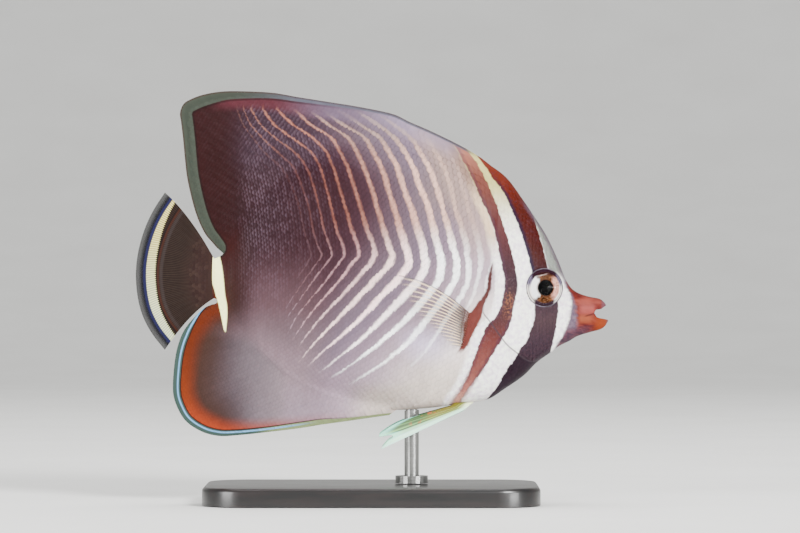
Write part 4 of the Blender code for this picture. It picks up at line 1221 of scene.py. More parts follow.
def skin_colour(graph, marks):
    """The whole fish's markings, with light and shade painted into them, by place and by distance from the
    fins' margins.
    """
    spot, own_x, _, own_z = graph.place()
    dorsal_edge, anal_edge, tail_edge, ray, gill = (
        graph.attribute(name) for name in ("dorsal_edge", "anal_edge", "tail_edge", "ray", "gill")
    )
    x = own_x + graph.attribute("shift_x") * MARK_SHIFT
    z = own_z + graph.attribute("shift_z") * MARK_SHIFT
    mottle = graph.noise(spot, 0.12, 3)
    fine = graph.noise(spot, 0.9)

    ruddy = x.step(-32, -39) * z.step(50, 58) * z.step(80, 68)
    colour = flank_colour(graph, marks, spot, x, z, dorsal_edge)
    colour = graph.mix(ruddy * 0.8, colour, (90, 43, 38))
    colour = head_colour(graph, marks, spot, x, z, fine, colour)
    # A thin dark line along the gill cover's lower edge: painted shade of the slit under the edge.
    colour = graph.mix(abs(gill).step(0.3, 0.1) * z.step(55, 51) * 0.75, colour, (104, 88, 98))
    colour = anal_fin_colour(graph, marks, x, z, ray, anal_edge, colour)
    colour = back_fin_colour(graph, marks, x, z, mottle, dorsal_edge, colour)
    stalk = x.step(-41.2, -42.4) * z.step(56.6, 57.6) * z.step(71, 69.5) * dorsal_edge.step(2, 3)
    patch = own_x.within(z.curve(TAIL_PATCH_REAR), z.curve(TAIL_PATCH_FRONT))
    patch = patch * z.step(46.4, 47.6) * z.step(68.8, 67.9)
    patch = patch * anal_edge.step(0.8, 1.2) * dorsal_edge.step(0.8, 1.4)
    colour = graph.paint(
        colour,
        (stalk, (116, 70, 60)),
        (patch, (240, 237, 214)),
    )
    colour = graph.mix(tail_edge.step(40, 30), colour, tail_colour(graph, z, ray, fine, tail_edge))
    open_flank = dorsal_edge.at_most(anal_edge).at_most(tail_edge).step(2.5, 6) * (1 - patch)
    return spot, scale_tones_and_light(graph, x, z, fine, mottle, open_flank, colour), tail_edge


def skin_material(marks):
    graph = Graph(
        "scaled skin", coat_roughness=0.3, specular_ior_level=0.1, subsurface_weight=0.03,
        subsurface_scale=0.5 * MM,
    )
    spot, colour, tail_edge = skin_colour(graph, marks)
    gloss = graph.noise(spot, 0.8)
    graph.bump(graph.noise(spot, 5, 2), 0.2, 0.05)
    alpha = 1 - tail_edge.step(2.6, 0.4) * 0.45
    return graph.finish(
        base_color=colour, roughness=gloss * 0.16 + 0.46, coat_weight=gloss * 0.02, alpha=alpha
    )


def lining_material():
    graph = Graph("mouth lining")
    spot, x, _, _ = graph.place()
    wet = graph.noise(spot, 0.9, 3)
    # Red near the lips and painted darker towards the mouth's corner: painted shade deep inside the mouth.
    colour = graph.mix(x.step(64, 61.6), (196, 92, 74), (92, 34, 34))
    return graph.finish(base_color=graph.shade(colour, wet * 0.5 + 0.75), roughness=wet * 0.2 + 0.25)


def gill_distance(points):
    """Distance from the line painted along the gill cover's edge, more than 0 in front of it."""
    return np.where(points[:, 0] > 25, ahead_of(points[:, [0, 2]], GILL_LINE), 9).clip(-9, 9)


def paint_attributes(points, zones, rays, shift=0):
    found = margin_distances(points, zones)
    found["line"] = line_numbers(*(points[:, [0, 2]] + shift).T)
    found["ray"] = rays
    found["gill"] = gill_distance(points)
    return found


# The skin's grids, which the scales are laid on
SKIN_CACHE = {}


class FISH_OT_skin(bpy.types.Operator):
    """Make the skin of the body, median fins and tail"""

    bl_idname = "fish.skin"
    bl_label = "Skin"

    def execute(self, context):
        skin = build_skin()
        points = np.concatenate(skin.points)
        attributes = paint_attributes(points, np.concatenate(skin.zones), np.concatenate(skin.rays))
        made = new_mesh_object("body_skin", points, skin.faces + skin.lining, attributes)
        made.data.materials.append(skin_material(context.scene.fish_marks))
        made.data.materials.append(lining_material())
        plain = sum(len(block) for block in skin.faces)
        slots = np.zeros(len(made.data.polygons), dtype=np.int32)
        slots[plain:] = 1
        made.data.polygons.foreach_set("material_index", slots)
        sound(made)
        adopt(
            made, "flesh", "head", "upper_jaw", "lower_jaw", "torso", "tail_stalk", "tail_fin",
            "dorsal_fin_spines", "dorsal_fin_rays", "anal_fin_spines", "anal_fin_rays",
        )
        SKIN_CACHE["skin"] = skin
        return {"FINISHED"}


# A scale from above: along its lie, half its width and how far it stands off, root to free edge
SCALE_ROOT = 0.62
SCALE_ROWS = ((-SCALE_ROOT, 0.36, -0.9), (0, 0.6, 0.4), (0.38, 0.48, 0.85), (0.55, 0.18, 1))
SCALE_COLUMNS = (-1, -0.5, 0, 0.5, 1)
SCALE_THICKNESS = 1.6
SCALE_LENGTH = 1.36

# A scale's own patch in the map, and where each side's half of the map starts
SCALE_PATCH = 0.0015
MAP_HALF = {RIGHT: 0, LEFT: 0.5}


def scale_template():
    """Vertices (along, across, lift), nearness to the free edge, and faces of one closed scale."""
    lie, half, lift = (np.array(column)[:, None] for column in zip(*SCALE_ROWS))
    across = np.array(SCALE_COLUMNS)[None]
    swell = 1 - across**2
    top = np.stack([lie + 0.06 * swell * (lie > 0), half * across, lift + 0.25 * swell], axis=-1)
    top = top.reshape(-1, 3)
    index = np.arange(len(top)).reshape(len(SCALE_ROWS), len(SCALE_COLUMNS))
    quads = grid_quads(index, turned=True)
    ring = np.concatenate([index[0, :-1], index[:-1, -1], index[-1, :0:-1], index[:0:-1, 0]])
    skirt = np.stack([ring, ring + len(top), np.roll(ring, -1) + len(top), np.roll(ring, -1)], axis=1)
    edge = np.hypot(top[:, 0].clip(0) / 0.6, top[:, 1] / 0.6).clip(0, 1)
    points = np.concatenate([top, top - [0, 0, SCALE_THICKNESS]])
    return points, np.tile(edge, 2), np.concatenate([quads, quads[:, ::-1] + len(top), skirt])


def sample(grid, u, v):
    """Bilinear sampling of a grid of points at fractional indices."""
    i, j = u.astype(int), v.astype(int)
    s, t = (u - i)[..., None], (v - j)[..., None]
    low = grid[i, j] * (1 - s) + grid[i + 1, j] * s
    high = grid[i, j + 1] * (1 - s) + grid[i + 1, j + 1] * s
    return low * (1 - t) + high * t


BESIDE = ((0, 1), (0, -1), (1, 0), (-1, 0))


class Relief:
    """One side's surface as a map over the side view: its y, and the row and column of the skin's grid."""

    CELL = 0.2

    def __init__(self, sheets):
        parts = []
        for grid, rows, columns in sheets:
            u = np.arange(0, grid.shape[0] - 1, 1 / 6) + 1 / 12
            v = np.arange(0, grid.shape[1] - 1, 1 / 6) + 1 / 12
            u, v = np.meshgrid(u, v, indexing="ij")
            x, y, z = np.moveaxis(sample(grid, u, v), -1, 0)
            row = np.interp(u, np.arange(len(rows)), rows)
            column = np.interp(v, np.arange(len(columns)), columns)
            parts.append(np.stack([part.ravel() for part in (x, z, y, row, column)]))
        x, z, *channels = np.concatenate(parts, axis=1)
        self.low = np.array([x.min(), z.min()]) - 2
        cells = ((np.stack([x, z], axis=1) - self.low) / self.CELL).astype(int)
        shape = cells.max(axis=0) + 12
        flat = cells[:, 0] * shape[1] + cells[:, 1]
        count, *sums = (
            np.bincount(flat, weights=weights, minlength=shape.prod()).reshape(shape)
            for weights in (None, *channels)
        )
        self.maps = np.stack(sums) / np.maximum(count, 1)
        self.known = count > 0
        for _ in range(4):
            self.grow()
        inside = self.known.copy()
        for _ in range(4):
            inside &= np.logical_and.reduce([np.roll(inside, way, axis=(0, 1)) for way in BESIDE])
        self.known = inside

    def grow(self):
        """Fills the empty cells beside known ones."""
        near = np.zeros(self.known.shape)
        total = np.zeros(self.maps.shape)
        for way in BESIDE:
            known = np.roll(self.known, way, axis=(0, 1))
            near += known
            total += np.roll(self.maps, way, axis=(1, 2)) * known
        fresh = ~self.known & (near > 0)
        self.maps[:, fresh] = total[:, fresh] / near[fresh]
        self.known |= fresh

    def at(self, x, z):
        """The maps' values at side-view places, and whether these lie on the surface."""
        a, b = (x - self.low[0]) / self.CELL - 0.5, (z - self.low[1]) / self.CELL - 0.5
        i = np.clip(a.astype(int), 0, self.known.shape[0] - 2)
        j = np.clip(b.astype(int), 0, self.known.shape[1] - 2)
        s, t = a - i, b - j
        low = self.maps[:, i, j] * (1 - s) + self.maps[:, i + 1, j] * s
        high = self.maps[:, i, j + 1] * (1 - s) + self.maps[:, i + 1, j + 1] * s
        return low * (1 - t) + high * t, self.known[i, j] & self.known[i + 1, j + 1]

    def slope(self, x, z, reach=0.4):
        """How the maps' values change along x and along z."""
        along_x = self.at(x + reach, z)[0] - self.at(x - reach, z)[0]
        along_z = self.at(x, z + reach)[0] - self.at(x, z - reach)[0]
        return along_x / (2 * reach), along_z / (2 * reach)


# Scales fan out from a pole behind the tail, so that they widen towards the head
FAN_POLE = (-150, 62)
FAN_REACH = 110


def fanned(spacing, rng):
    """Places on a staggered grid about the pole, each strayed a little, with their spacing there."""
    step = spacing / FAN_REACH
    rings = np.exp(np.arange(math.log(94), math.log(192), step * 0.64))
    turns = np.arange(-0.6, 0.6, step)
    reach, turn = np.meshgrid(rings, turns, indexing="ij")
    turn = turn + (np.arange(len(rings)) % 2)[:, None] * step / 2
    spots = np.stack([FAN_POLE[0] + reach * np.cos(turn), FAN_POLE[1] + reach * np.sin(turn)], axis=-1)
    own = (reach * step).ravel()
    return spots.reshape(-1, 2) + rng.uniform(-0.08, 0.08, (own.size, 2)) * own[:, None], own


def staggered(low, high, spacing, rng):
    """Places on a staggered upright grid in the side view, each strayed a little."""
    rows, places = np.arange(low[0], high[0], spacing * 0.75), np.arange(low[1], high[1], spacing)
    x, z = np.meshgrid(rows, places, indexing="ij")
    z = z + (np.arange(len(x)) % 2)[:, None] * spacing / 2
    spots = np.stack([x.ravel(), z.ravel()], axis=1)
    return spots + rng.uniform(-0.05, 0.05, spots.shape) * spacing, np.full(len(spots), spacing)


def lay_scales(relief, side, spots, size, lie, lift, patch, zones, rng, ray_rate=0):
    """Scales draped over one side at side-view spots, each of its own size, lie, lift and tone."""
    template, edge, faces = scale_template()
    forward, sideways, height = template.T
    x, z = spots.T
    (y, row, column), _ = relief.at(x, z)
    (slope_x, *_), (slope_z, *_) = relief.slope(x, z)
    normal = side * np.stack([-slope_x, np.ones(len(x)), -slope_z], axis=1)
    normal /= np.linalg.norm(normal, axis=1)[:, None]
    run = np.stack([lie[:, 0], slope_x * lie[:, 0] + slope_z * lie[:, 1], lie[:, 1]], axis=1)
    run /= np.linalg.norm(run, axis=1)[:, None]
    cross = np.cross(normal, run)
    place = np.stack([x, y, z], axis=1)[:, None] + size[:, None, None] * (
        forward[:, None] * run[:, None] + sideways[:, None] * cross[:, None]
    )
    found, known = relief.at(place[..., 0], place[..., 2])
    place[..., 1] = found[0]
    points = place + normal[:, None] * (height * lift[:, None])[..., None]
    shift = np.stack([x, y, z], axis=1)[:, None] - points
    kept = known.all(axis=1) & (np.linalg.norm(shift, axis=2).max(axis=1) < size * 1.1)
    count = int(kept.sum())
    corner_u, corner_v, rows, columns = patch
    roots = np.stack([corner_u + row / rows, corner_v + column / columns], axis=-1)
    uv = roots[:, None] + SCALE_PATCH * template[:, :2] / SCALE_ROOT
    each = len(template)
    return {
        "points": points[kept].reshape(-1, 3),
        "faces": (faces[None] + (np.arange(count) * each)[:, None, None]).reshape(-1, 4),
        "zone": np.repeat(zones[kept], each),
        "ray": np.repeat(column[kept] * ray_rate, each),
        "shift_x": shift[kept, :, 0].ravel(),
        "shift_z": shift[kept, :, 2].ravel(),
        "rim": np.tile((forward / SCALE_ROOT + 1) / 2, count),
        "edge": np.tile(edge, count),
        "tone": np.repeat(rng.uniform(-1, 1, count), each),
        "uv": uv[kept].reshape(-1, 2),
    }


def side_relief(skin, side):
    """The relief of flank and median fins, and that of the tail fin."""
    flank = skin.grids[side, "flank"]
    rows = np.arange(len(flank))
    sheets = [(flank, rows, FIN_STEPS + np.arange(SECTION_STEPS + 1))]
    for name, edge, first, way in (("anal", 0, FIN_STEPS, -1), ("dorsal", -1, FIN_STEPS + SECTION_STEPS, 1)):
        inside, grid = skin.grids[side, name]
        whole = np.concatenate([flank[inside, edge][:, None], grid], axis=1)
        sheets.append((whole, rows[inside], first + way * np.arange(FIN_STEPS + 1)))
    tail = skin.grids[side, "tail"]
    return Relief(sheets), Relief([(tail, np.arange(TAIL_STEPS + 1), np.arange(SECTION_STEPS + 1))])


def fin_share(column):
    """How far out on a median fin a column of the grid stands, 0 on the flank and 1 at the margin."""
    return np.clip(np.maximum(FIN_STEPS - column, column - FIN_STEPS - SECTION_STEPS) / FIN_STEPS, 0, 1)


def lie_of(relief, spots, share, column):
    """Directions in the side view: towards the pole on the flank, turning along the rays on a fin."""
    towards = np.array(FAN_POLE) - spots
    towards /= np.linalg.norm(towards, axis=1)[:, None]
    (_, across_x, _), (_, across_z, _) = relief.slope(*spots.T)
    ray = np.stack([-across_z, across_x], axis=1)
    ray *= np.sign(ray[:, 1] * (column - FIN_STEPS - SECTION_STEPS / 2))[:, None]
    ray /= np.linalg.norm(ray, axis=1)[:, None] + 1e-9
    weight = (0.85 * smooth_step(0, 0.6, share))[:, None]
    run = towards * (1 - weight) + ray * weight
    return run / np.linalg.norm(run, axis=1)[:, None]


def trunk_or_head(spots, kind):
    """Which spots carry scales of the trunk, or of the head before the gill cover's edge."""
    x, z = spots.T
    ahead = ahead_of(spots, GILL_OPENING)
    if kind == "trunk":
        return (ahead < 0.2) | (x < 26)
    inside = (z < back(x) - 0.4) & (z > belly(x) + 0.4) & (x >= 26)
    inside &= (ahead > 0.1) & (from_eye(x, z) > EYE_RADIUS + 0.9) & (x < 54.2 - 0.08 * np.abs(z - 52))
    for nostril_x, nostril_z, radius in NOSTRILS:
        inside &= np.hypot(x - nostril_x, z - nostril_z) > radius * 2.4
    return inside


def tail_scales(relief, side, settings, rng):
    """Small scales on the tail fin's foot, which shrink along its rays."""
    spots, spacing = staggered((-56, 50), (-44.6, 76), settings.fin_spacing / MM, rng)
    (_, row, _), known = relief.at(*spots.T)
    keep = known & (row > 1.5) & (row < TAIL_STEPS * 0.3)
    spots, spacing, row = spots[keep], spacing[keep], row[keep]
    lie = spots - [-30, 62]
    lie /= np.linalg.norm(lie, axis=1)[:, None]
    shrink = 1 - 1.4 * row / TAIL_STEPS
    return lay_scales(
        relief, side, spots, spacing * SCALE_LENGTH * shrink, lie, settings.lift / MM * 0.5 * shrink,
        (0.005 + MAP_HALF[side], 0.4, 1800, 500), np.full(len(spots), TAIL), rng, TAIL_RAYS / SECTION_STEPS,
    )


def scale_blocks(skin, side, settings):
    """Every stretch of scales on one side, as arrays."""
    rng = np.random.default_rng(settings.seed + (0 if side == RIGHT else 1))
    lift = settings.lift / MM
    relief, tail_relief = side_relief(skin, side)
    blocks = {}
    for kind, (spots, spacing) in (
        ("trunk", fanned(settings.body_spacing / MM, rng)),
        ("head", staggered((28, 27), (57, 96), settings.head_spacing / MM, rng)),
    ):
        (_, _, column), known = relief.at(*spots.T)
        keep = known & trunk_or_head(spots, kind) & (fin_share(column) < 0.9) & (spots[:, 0] > -55)
        spots, spacing, column = spots[keep], spacing[keep], column[keep]
        share = fin_share(column)
        shrink = 1 - 0.35 * smooth_step(0.3, 1, share)
        size = spacing * SCALE_LENGTH * rng.uniform(0.95, 1.05, len(spots))
        zone = np.where(column < FIN_STEPS, ANAL, np.where(column > FIN_STEPS + SECTION_STEPS, DORSAL, FLANK))
        raised = lift * shrink * (1 if kind == "trunk" else 0.65)
        lie = lie_of(relief, spots, share, column)
        stretches = {"head": spots[:, 0] > 0}
        if kind == "trunk":
            parts = np.digitize(spots[:, 0], (-24, 2))
            stretches = {"rear": parts == 0, "middle": parts == 1, "front": parts == 2}
        for stretch, chosen in stretches.items():
            blocks[stretch] = [lay_scales(
                relief, side, spots[chosen], size[chosen], lie[chosen], raised[chosen],
                (0.03 + MAP_HALF[side], 0.03, 2.2 * len(skin.grids[side, "flank"]), 151), zone[chosen], rng,
            )]
    blocks["rear"].append(tail_scales(tail_relief, side, settings, rng))
    return blocks


def scale_object(name, blocks, material):
    """One piece of the coat from its stretches of scales, each scale with its own patch of the map."""
    starts = np.cumsum([0] + [len(block["points"]) for block in blocks])
    faces = [block["faces"] + start for block, start in zip(blocks, starts)]
    whole = {key: np.concatenate([block[key] for block in blocks]) for key in blocks[0] if key != "faces"}
    shift = np.stack([whole["shift_x"], whole["shift_z"]], axis=1)
    attributes = paint_attributes(whole["points"], whole["zone"], whole["ray"], shift * MARK_SHIFT)
    attributes.update({key: whole[key] for key in ("rim", "edge", "tone", "shift_x", "shift_z")})
    made = new_mesh_object(name, whole["points"], faces, attributes, smooth=50)
    layer = made.data.uv_layers.new(name="OFBake")
    loops = np.zeros(len(made.data.loops), dtype=np.int32)
    made.data.loops.foreach_get("vertex_index", loops)
    layer.data.foreach_set("uv", whole["uv"][loops].astype(np.float32).ravel())
    made.data.materials.append(material)
    return adopt(sound(made), "flesh")


class FISH_OT_scales(bpy.types.Operator):
    """Lay the scales over the skin"""

    bl_idname = "fish.scales"
    bl_label = "Scales"

    def execute(self, context):
        material = bpy.data.materials["scaled skin"]
        for side, word in SIDES:
            blocks = scale_blocks(SKIN_CACHE["skin"], side, context.scene.fish_scales)
            for stretch, found in blocks.items():
                scale_object(f"scales_{stretch}_{word}", found, material)
        return {"FINISHED"}


def eye_matrix(side):
    """Places an eye that is modelled facing -Y."""
    x, z = EYE_CENTRE
    surface = Vector((x, -float(flank_half(np.array(x), np.array(z))[0]) - SKIN_DEPTH, z))
    facing = Vector((math.sin(EYE_TURN), -math.cos(EYE_TURN), 0))
    turned = Matrix.Translation(surface - facing * EYE_SUNK) @ Matrix.Rotation(EYE_TURN, 4, "Z")
    return turned if side == RIGHT else Matrix.Scale(-1, 4, Vector((0, 1, 0))) @ turned


def turned_shape(name, outline, segments, side):
    """A closed turned shape about the eye's axis, from (radius, depth) points, pole to pole."""
    turn = np.arange(segments) * math.tau / segments
    radii, depths = np.array(outline).T
    depths = np.repeat(depths[:, None], segments, axis=1)
    points = with_y(radii[:, None] * np.cos(turn), radii[:, None] * np.sin(turn), depths)
    place = np.array(eye_matrix(side))
    index = np.arange(points.size // 3).reshape(len(radii), segments)
    made = new_mesh_object(
        name, points.reshape(-1, 3) @ place[:3, :3].T + place[:3, 3],
        [grid_quads(np.hstack([index, index[:, :1]]))],
        {"eye_across": points[..., 0].ravel(), "eye_up": points[..., 2].ravel()},
    )
    return sound(made, merge=0.01 * MM)


def dome(radius, height, count):
    """(radius, depth) points of a flat dome from its pole to its rim."""
    angles = np.linspace(0, math.pi / 2, count)
    return [(radius * math.sin(a), -height * math.cos(a)) for a in angles]


def eye_material():
    """A dark pupil, an iris silvery at its sides and amber above and below, and the white around it."""
    graph = Graph("eyeball", roughness=0.45, specular_ior_level=0.03)
    across, up = graph.attribute("eye_across"), graph.attribute("eye_up")
    spot = graph.node("ShaderNodeCombineXYZ", None, {0: across, 1: up, 2: 0})
    radius = (across**2 + up**2) ** 0.5
    flecks = graph.noise(spot, 0.8 * MM, 4)
    fine = graph.noise(spot, 2.6 * MM, 3)
    amber = graph.paint(
        (84, 52, 38),
        ((flecks * 0.6 + fine * 0.6).step(0.45, 0.75), (178, 130, 88)),
        (radius.step(3.3, 4.1) * up.step(-1, 1), (86, 50, 48)),
    )
    silver = graph.paint(
        (244, 242, 238),
        (across.step(-0.5, 0.5), (226, 204, 196)),
        (fine.step(0.52, 0.62) * across.step(0.5, 1.5) * 0.8, (130, 78, 56)),
    )
    sides = (abs(across) / (radius + 0.01) + (flecks - 0.5) * 0.6).step(0.5, 0.75)
    from_axis = abs(across + 0.15)
    upper = graph.mix(from_axis.step(3, 4), (80, 44, 50), (180, 172, 190))
    lower = graph.mix(from_axis.step(2.4, 3.4), (98, 76, 84), (236, 234, 232))
    outer = graph.mix(up.step(-0.5, 1.5), lower, upper)
    colour = graph.paint(
        amber,
        (sides, silver),
        (radius.step(2.75, 2.3) * 0.8, (136, 88, 62)),
        ((radius + (flecks - 0.5) * 0.3).step(IRIS_RADIUS, IRIS_RADIUS + 0.25), outer),
        (abs(radius - 4.62).step(0.2, 0.06) * 0.7, (88, 72, 92)),
        (radius.step(PUPIL_RADIUS + 0.07, PUPIL_RADIUS - 0.05), (2, 2, 5)),
    )
    return graph.finish(base_color=colour)


def cornea_material():
    graph = Graph("clear cornea", roughness=0.03, specular_ior_level=0.3)
    across, up = graph.attribute("eye_across"), graph.attribute("eye_up")
    rim = ((across**2 + up**2) ** 0.5).step(4.75, 5.3)
    return graph.finish(base_color=graph.mix(rim, (4, 4, 6), (140, 132, 150)), alpha=rim * 0.3 + 0.06)


def eye_rim_material():
    graph = Graph("eye rim", roughness=0.35, specular_ior_level=0.3)
    cloud = graph.noise(graph.place()[0], 0.6, 3)
    return graph.finish(base_color=graph.mix(cloud.step(0.35, 0.65), (92, 76, 92), (160, 148, 164)))


class FISH_OT_eyes(bpy.types.Operator):
    """Make both eyes, each with its cornea and rim"""

    bl_idname = "fish.eyes"
    bl_label = "Eyes"

    def execute(self, context):
        front = dome(EYE_RADIUS - 0.12, BALL_DOME, 40)
        rear = [(radius, -depth * EYE_CUP / BALL_DOME) for radius, depth in reversed(front[:-1])]
        outer = dome(EYE_RADIUS, EYE_DOME, 28)
        inner = [(radius * 0.985, depth + 0.1) for radius, depth in reversed(outer[:-1])]
        turn = np.linspace(0, math.tau, 13)
        ring = zip(
            EYE_RADIUS - 0.05 + EYE_RIM_HALF * np.cos(turn), 0.02 - EYE_SUNK - EYE_RIM_HALF * np.sin(turn)
        )
        parts = (
            ("eyeball", front + rear, 96, eye_material(), ("eye",)),
            ("cornea", outer + inner, 72, cornea_material(), ()),
            ("eye_rim", list(ring), 96, eye_rim_material(), ()),
        )
        for side, word in SIDES:
            for piece, outline, segments, material, nodes in parts:
                made = turned_shape(f"{piece}_{word}", outline, segments, side)
                made.data.materials.append(material)
                adopt(made, "eye", *(f"{node}_{word}" for node in nodes))
        return {"FINISHED"}


def paired_fin(name, feet, tips, rows, per_ray, rays, place, root_half, side):
    """A closed, ribbed fin from root to tips; place gives its middle sheet's points."""
    columns = rays * per_ray + 1
    share = np.arange(columns) / (columns - 1)
    phase = share * rays + 0.5
    foot = along(np.array(feet, dtype=float), share)
    tip = along(smooth_path(tips), share)
    t = np.arange(rows + 1) / rows
    out = place(foot, tip, share, t)
    web = root_half + (0.1 - root_half) * smooth_step(-0.2, 1, t)
    thick = web[None] + 0.16 * ridge(phase)[:, None] * (1 - 0.7 * t)[None]
    du, dv = np.gradient(out, axis=0), np.gradient(out, axis=1)
    normal = np.cross(du, dv)
    normal /= np.linalg.norm(normal, axis=-1)[..., None]
    front, rear = out + normal * thick[..., None], out - normal * thick[..., None]
    if side == LEFT:
        front = front * [1, -1, 1]
        rear = rear * [1, -1, 1]
    count = columns * (rows + 1)
    index = np.arange(count).reshape(columns, rows + 1)
    blocks = [grid_quads(index), grid_quads(index + count, turned=True)]
    loop = np.concatenate([index[:, 0], index[-1, 1:], index[-2::-1, -1], index[0, -2:0:-1]])
    following = np.roll(loop, -1)
    blocks.append(np.stack([loop, loop + count, following + count, following], axis=1))
    points = np.concatenate([front.reshape(-1, 3), rear.reshape(-1, 3)])
    attributes = {
        "ray": np.tile(np.repeat(phase, rows + 1), 2),
        "out": np.tile(np.tile(t, columns), 2),
        "share": np.tile(np.repeat(share, rows + 1), 2),
    }
    return sound(new_mesh_object(name, points, blocks, attributes, smooth=60))


def breast_fin_place(foot, tip, share, t):
    flat = foot[:, None] + (tip - foot)[:, None] * t[:, None]
    flat[..., 1] += BREAST_FIN_BOW * (1 - share[:, None]) * 4 * t * (1 - t)
    stand = flank_half(foot[:, 0], foot[:, 1])[0][:, None] - 0.3
    run = np.clip(foot[:, :1] - flat[..., 0], 0, None)
    out = stand + BREAST_FIN_SPREAD * run - BREAST_FIN_CUP * run**2 + 0.6 * smooth_step(0, 0.1, t)
    return np.stack([flat[..., 0], -out, flat[..., 1]], axis=-1)


def pelvic_fin_place(foot, tip, share, t):
    flat = foot[:, None] + (tip - foot)[:, None] * t[:, None]
    flat[..., 1] += 0.9 * (1 - smooth_step(0, 0.12, t))
    length = np.linalg.norm(foot[:, None] - flat, axis=-1)
    out = PELVIC_FIN_SIDE + PELVIC_FIN_SPLAY * length
    return np.stack([flat[..., 0], -out, flat[..., 1]], axis=-1)


def clear_fin_material():
    """Clear webs between pale rays, denser and reddish at the fin's root."""
    graph = Graph("clear fin", roughness=0.35)
    ray, out, share = graph.attribute("ray"), graph.attribute("out"), graph.attribute("share")
    cloud = graph.noise(graph.place()[0], 0.5)
    bone = ray.wave(1, 3).step(0.3, 0.75)
    colour = graph.paint(
        (104, 92, 94),
        (bone * out.step(0.05, 0.3), (238, 228, 214)),
        (out.step(0.14, 0.02) * 0.8, (170, 108, 88)),
    )
    alpha = 0.1 * out.step(1, 0.8) + bone * 0.42 * out.step(0.98, 0.5)
    alpha = alpha + out.step(0.7, 0.05) * 0.24 + out.step(0.12, 0) * 0.3
    alpha = alpha + share.step(0.03, 0) * 0.3 + cloud * 0.04
    return graph.finish(base_color=colour, alpha=alpha.at_most(0.97))


def pelvic_fin_material():
    """A pale spine in front, green webs that turn blue-white at the tips, and orange spots."""
    graph = Graph("pelvic fin", roughness=0.4)
    ray, out, share = graph.attribute("ray"), graph.attribute("out"), graph.attribute("share")
    wave = ray.wave(1, 2)
    web = graph.paint(
        (176, 168, 48),
        (out.step(0.35, 0.6), (94, 146, 66)),
        (out.step(0.8, 0.97), (170, 218, 212)),
    )
    spots = graph.noise(graph.place()[0], 0.7, 1).step(0.58, 0.66)
    spots = spots * out.within(0.42, 0.62, 0.12) * share.step(0.25, 0.5)
    colour = graph.paint(
        (224, 240, 232),
        (share.step(0.1, 0.36), web),
        (out.step(0.14, 0) * share.step(0.5, 0.2), (240, 238, 226)),
        (wave * 0.35 * share.step(0.75, 0.4), (216, 236, 206)),
        (spots * 0.9, (214, 132, 52)),
        (out.step(0.86, 1) * 0.6, (206, 232, 222)),
    )
    return graph.finish(base_color=colour, alpha=(0.9 + wave * 0.1).at_most(1))


class FISH_OT_paired_fins(bpy.types.Operator):
    """Make the breast fins and the pelvic fins"""

    bl_idname = "fish.paired_fins"
    bl_label = "Paired fins"

    def execute(self, context):
        fins = (
            ("breast_fin", "pectoral_fin", clear_fin_material(), BREAST_FIN_ROOT, BREAST_FIN_TIPS, 28, 6,
             BREAST_FIN_RAYS, breast_fin_place, 0.34),
            ("belly_fin", "pelvic_fin", pelvic_fin_material(), PELVIC_FIN_ROOT, PELVIC_FIN_TIPS, 30, 14,
             PELVIC_FIN_RAYS, pelvic_fin_place, 0.45),
        )
        for side, word in SIDES:
            for fin, node, material, *plan in fins:
                made = paired_fin(f"{fin}_{word}", *plan, side)
                made.data.materials.append(material)
                adopt(made, "clear_fin", f"{node}_{word}")
        return {"FINISHED"}


def lacquer_material():
    graph = Graph("dark lacquered wood", coat_weight=0.35, coat_roughness=0.18)
    stretched = graph.node("ShaderNodeMapping", None, {"Vector": graph.place()[0], "Scale": (0.12, 1, 1)})
    grain = graph.noise(stretched, 0.55, 5)
    fibre = graph.noise(stretched, 3, 3)
    colour = graph.mix((grain * 0.8 + fibre * 0.3).step(0.4, 0.7), (26, 20, 18), (52, 40, 34))
    graph.bump(fibre, 0.12, 0.05)
    return graph.finish(base_color=colour, roughness=grain * 0.15 + 0.3)


def steel_material():
    graph = Graph("brushed steel", metallic=1)
    stretched = graph.node("ShaderNodeMapping", None, {"Vector": graph.place()[0], "Scale": (1, 1, 14)})
    brush = graph.noise(stretched, 0.8, 4)
    graph.bump(brush, 0.1, 0.02)
    colour = graph.mix(brush, (168, 168, 170), (206, 206, 204))
    return graph.finish(base_color=colour, roughness=brush * 0.2 + 0.22)


def bevel(made, chosen, width, segments):
    """Rounds the edges of the active mesh whose two ends pass a test."""
    bpy.ops.object.mode_set(mode="EDIT")
    bpy.ops.mesh.select_mode(type="EDGE")
    bpy.ops.mesh.select_all(action="DESELECT")
    bpy.ops.object.mode_set(mode="OBJECT")
    for edge in made.data.edges:
        edge.select = chosen(*(made.data.vertices[i].co for i in edge.vertices))
    bpy.ops.object.mode_set(mode="EDIT")
    bpy.ops.mesh.bevel(offset=width, segments=segments, affect="EDGES")
    bpy.ops.object.mode_set(mode="OBJECT")


class FISH_OT_stand(bpy.types.Operator):
    """Make the base of the stand and finish its rod"""

    bl_idname = "fish.stand"
    bl_label = "Display stand"

    def execute(self, context):
        low, high = (Vector(corner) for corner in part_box("stand_base"))
        bpy.ops.object.select_all(action="DESELECT")
        bpy.ops.mesh.primitive_cube_add(size=1, location=(low + high) / 2)
        made = context.active_object
        made.name = "plinth"
        made.scale = high - low
        bpy.ops.object.transform_apply(location=True, rotation=False, scale=True)
        bevel(made, lambda a, b: abs(a.z - b.z) > MM, PLINTH_CORNER * MM, 16)
        bevel(made, lambda a, b: min(a.z, b.z) > high.z - MM, PLINTH_EDGE * MM, 5)
        bpy.ops.object.shade_smooth_by_angle(angle=math.radians(30))
        made.data.materials.append(lacquer_material())
        adopt(made, "base", "stand_base")
        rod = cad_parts["stand_rod"]
        rod.data.materials.clear()
        rod.data.materials.append(steel_material())
        made.select_set(False)
        return {"FINISHED"}


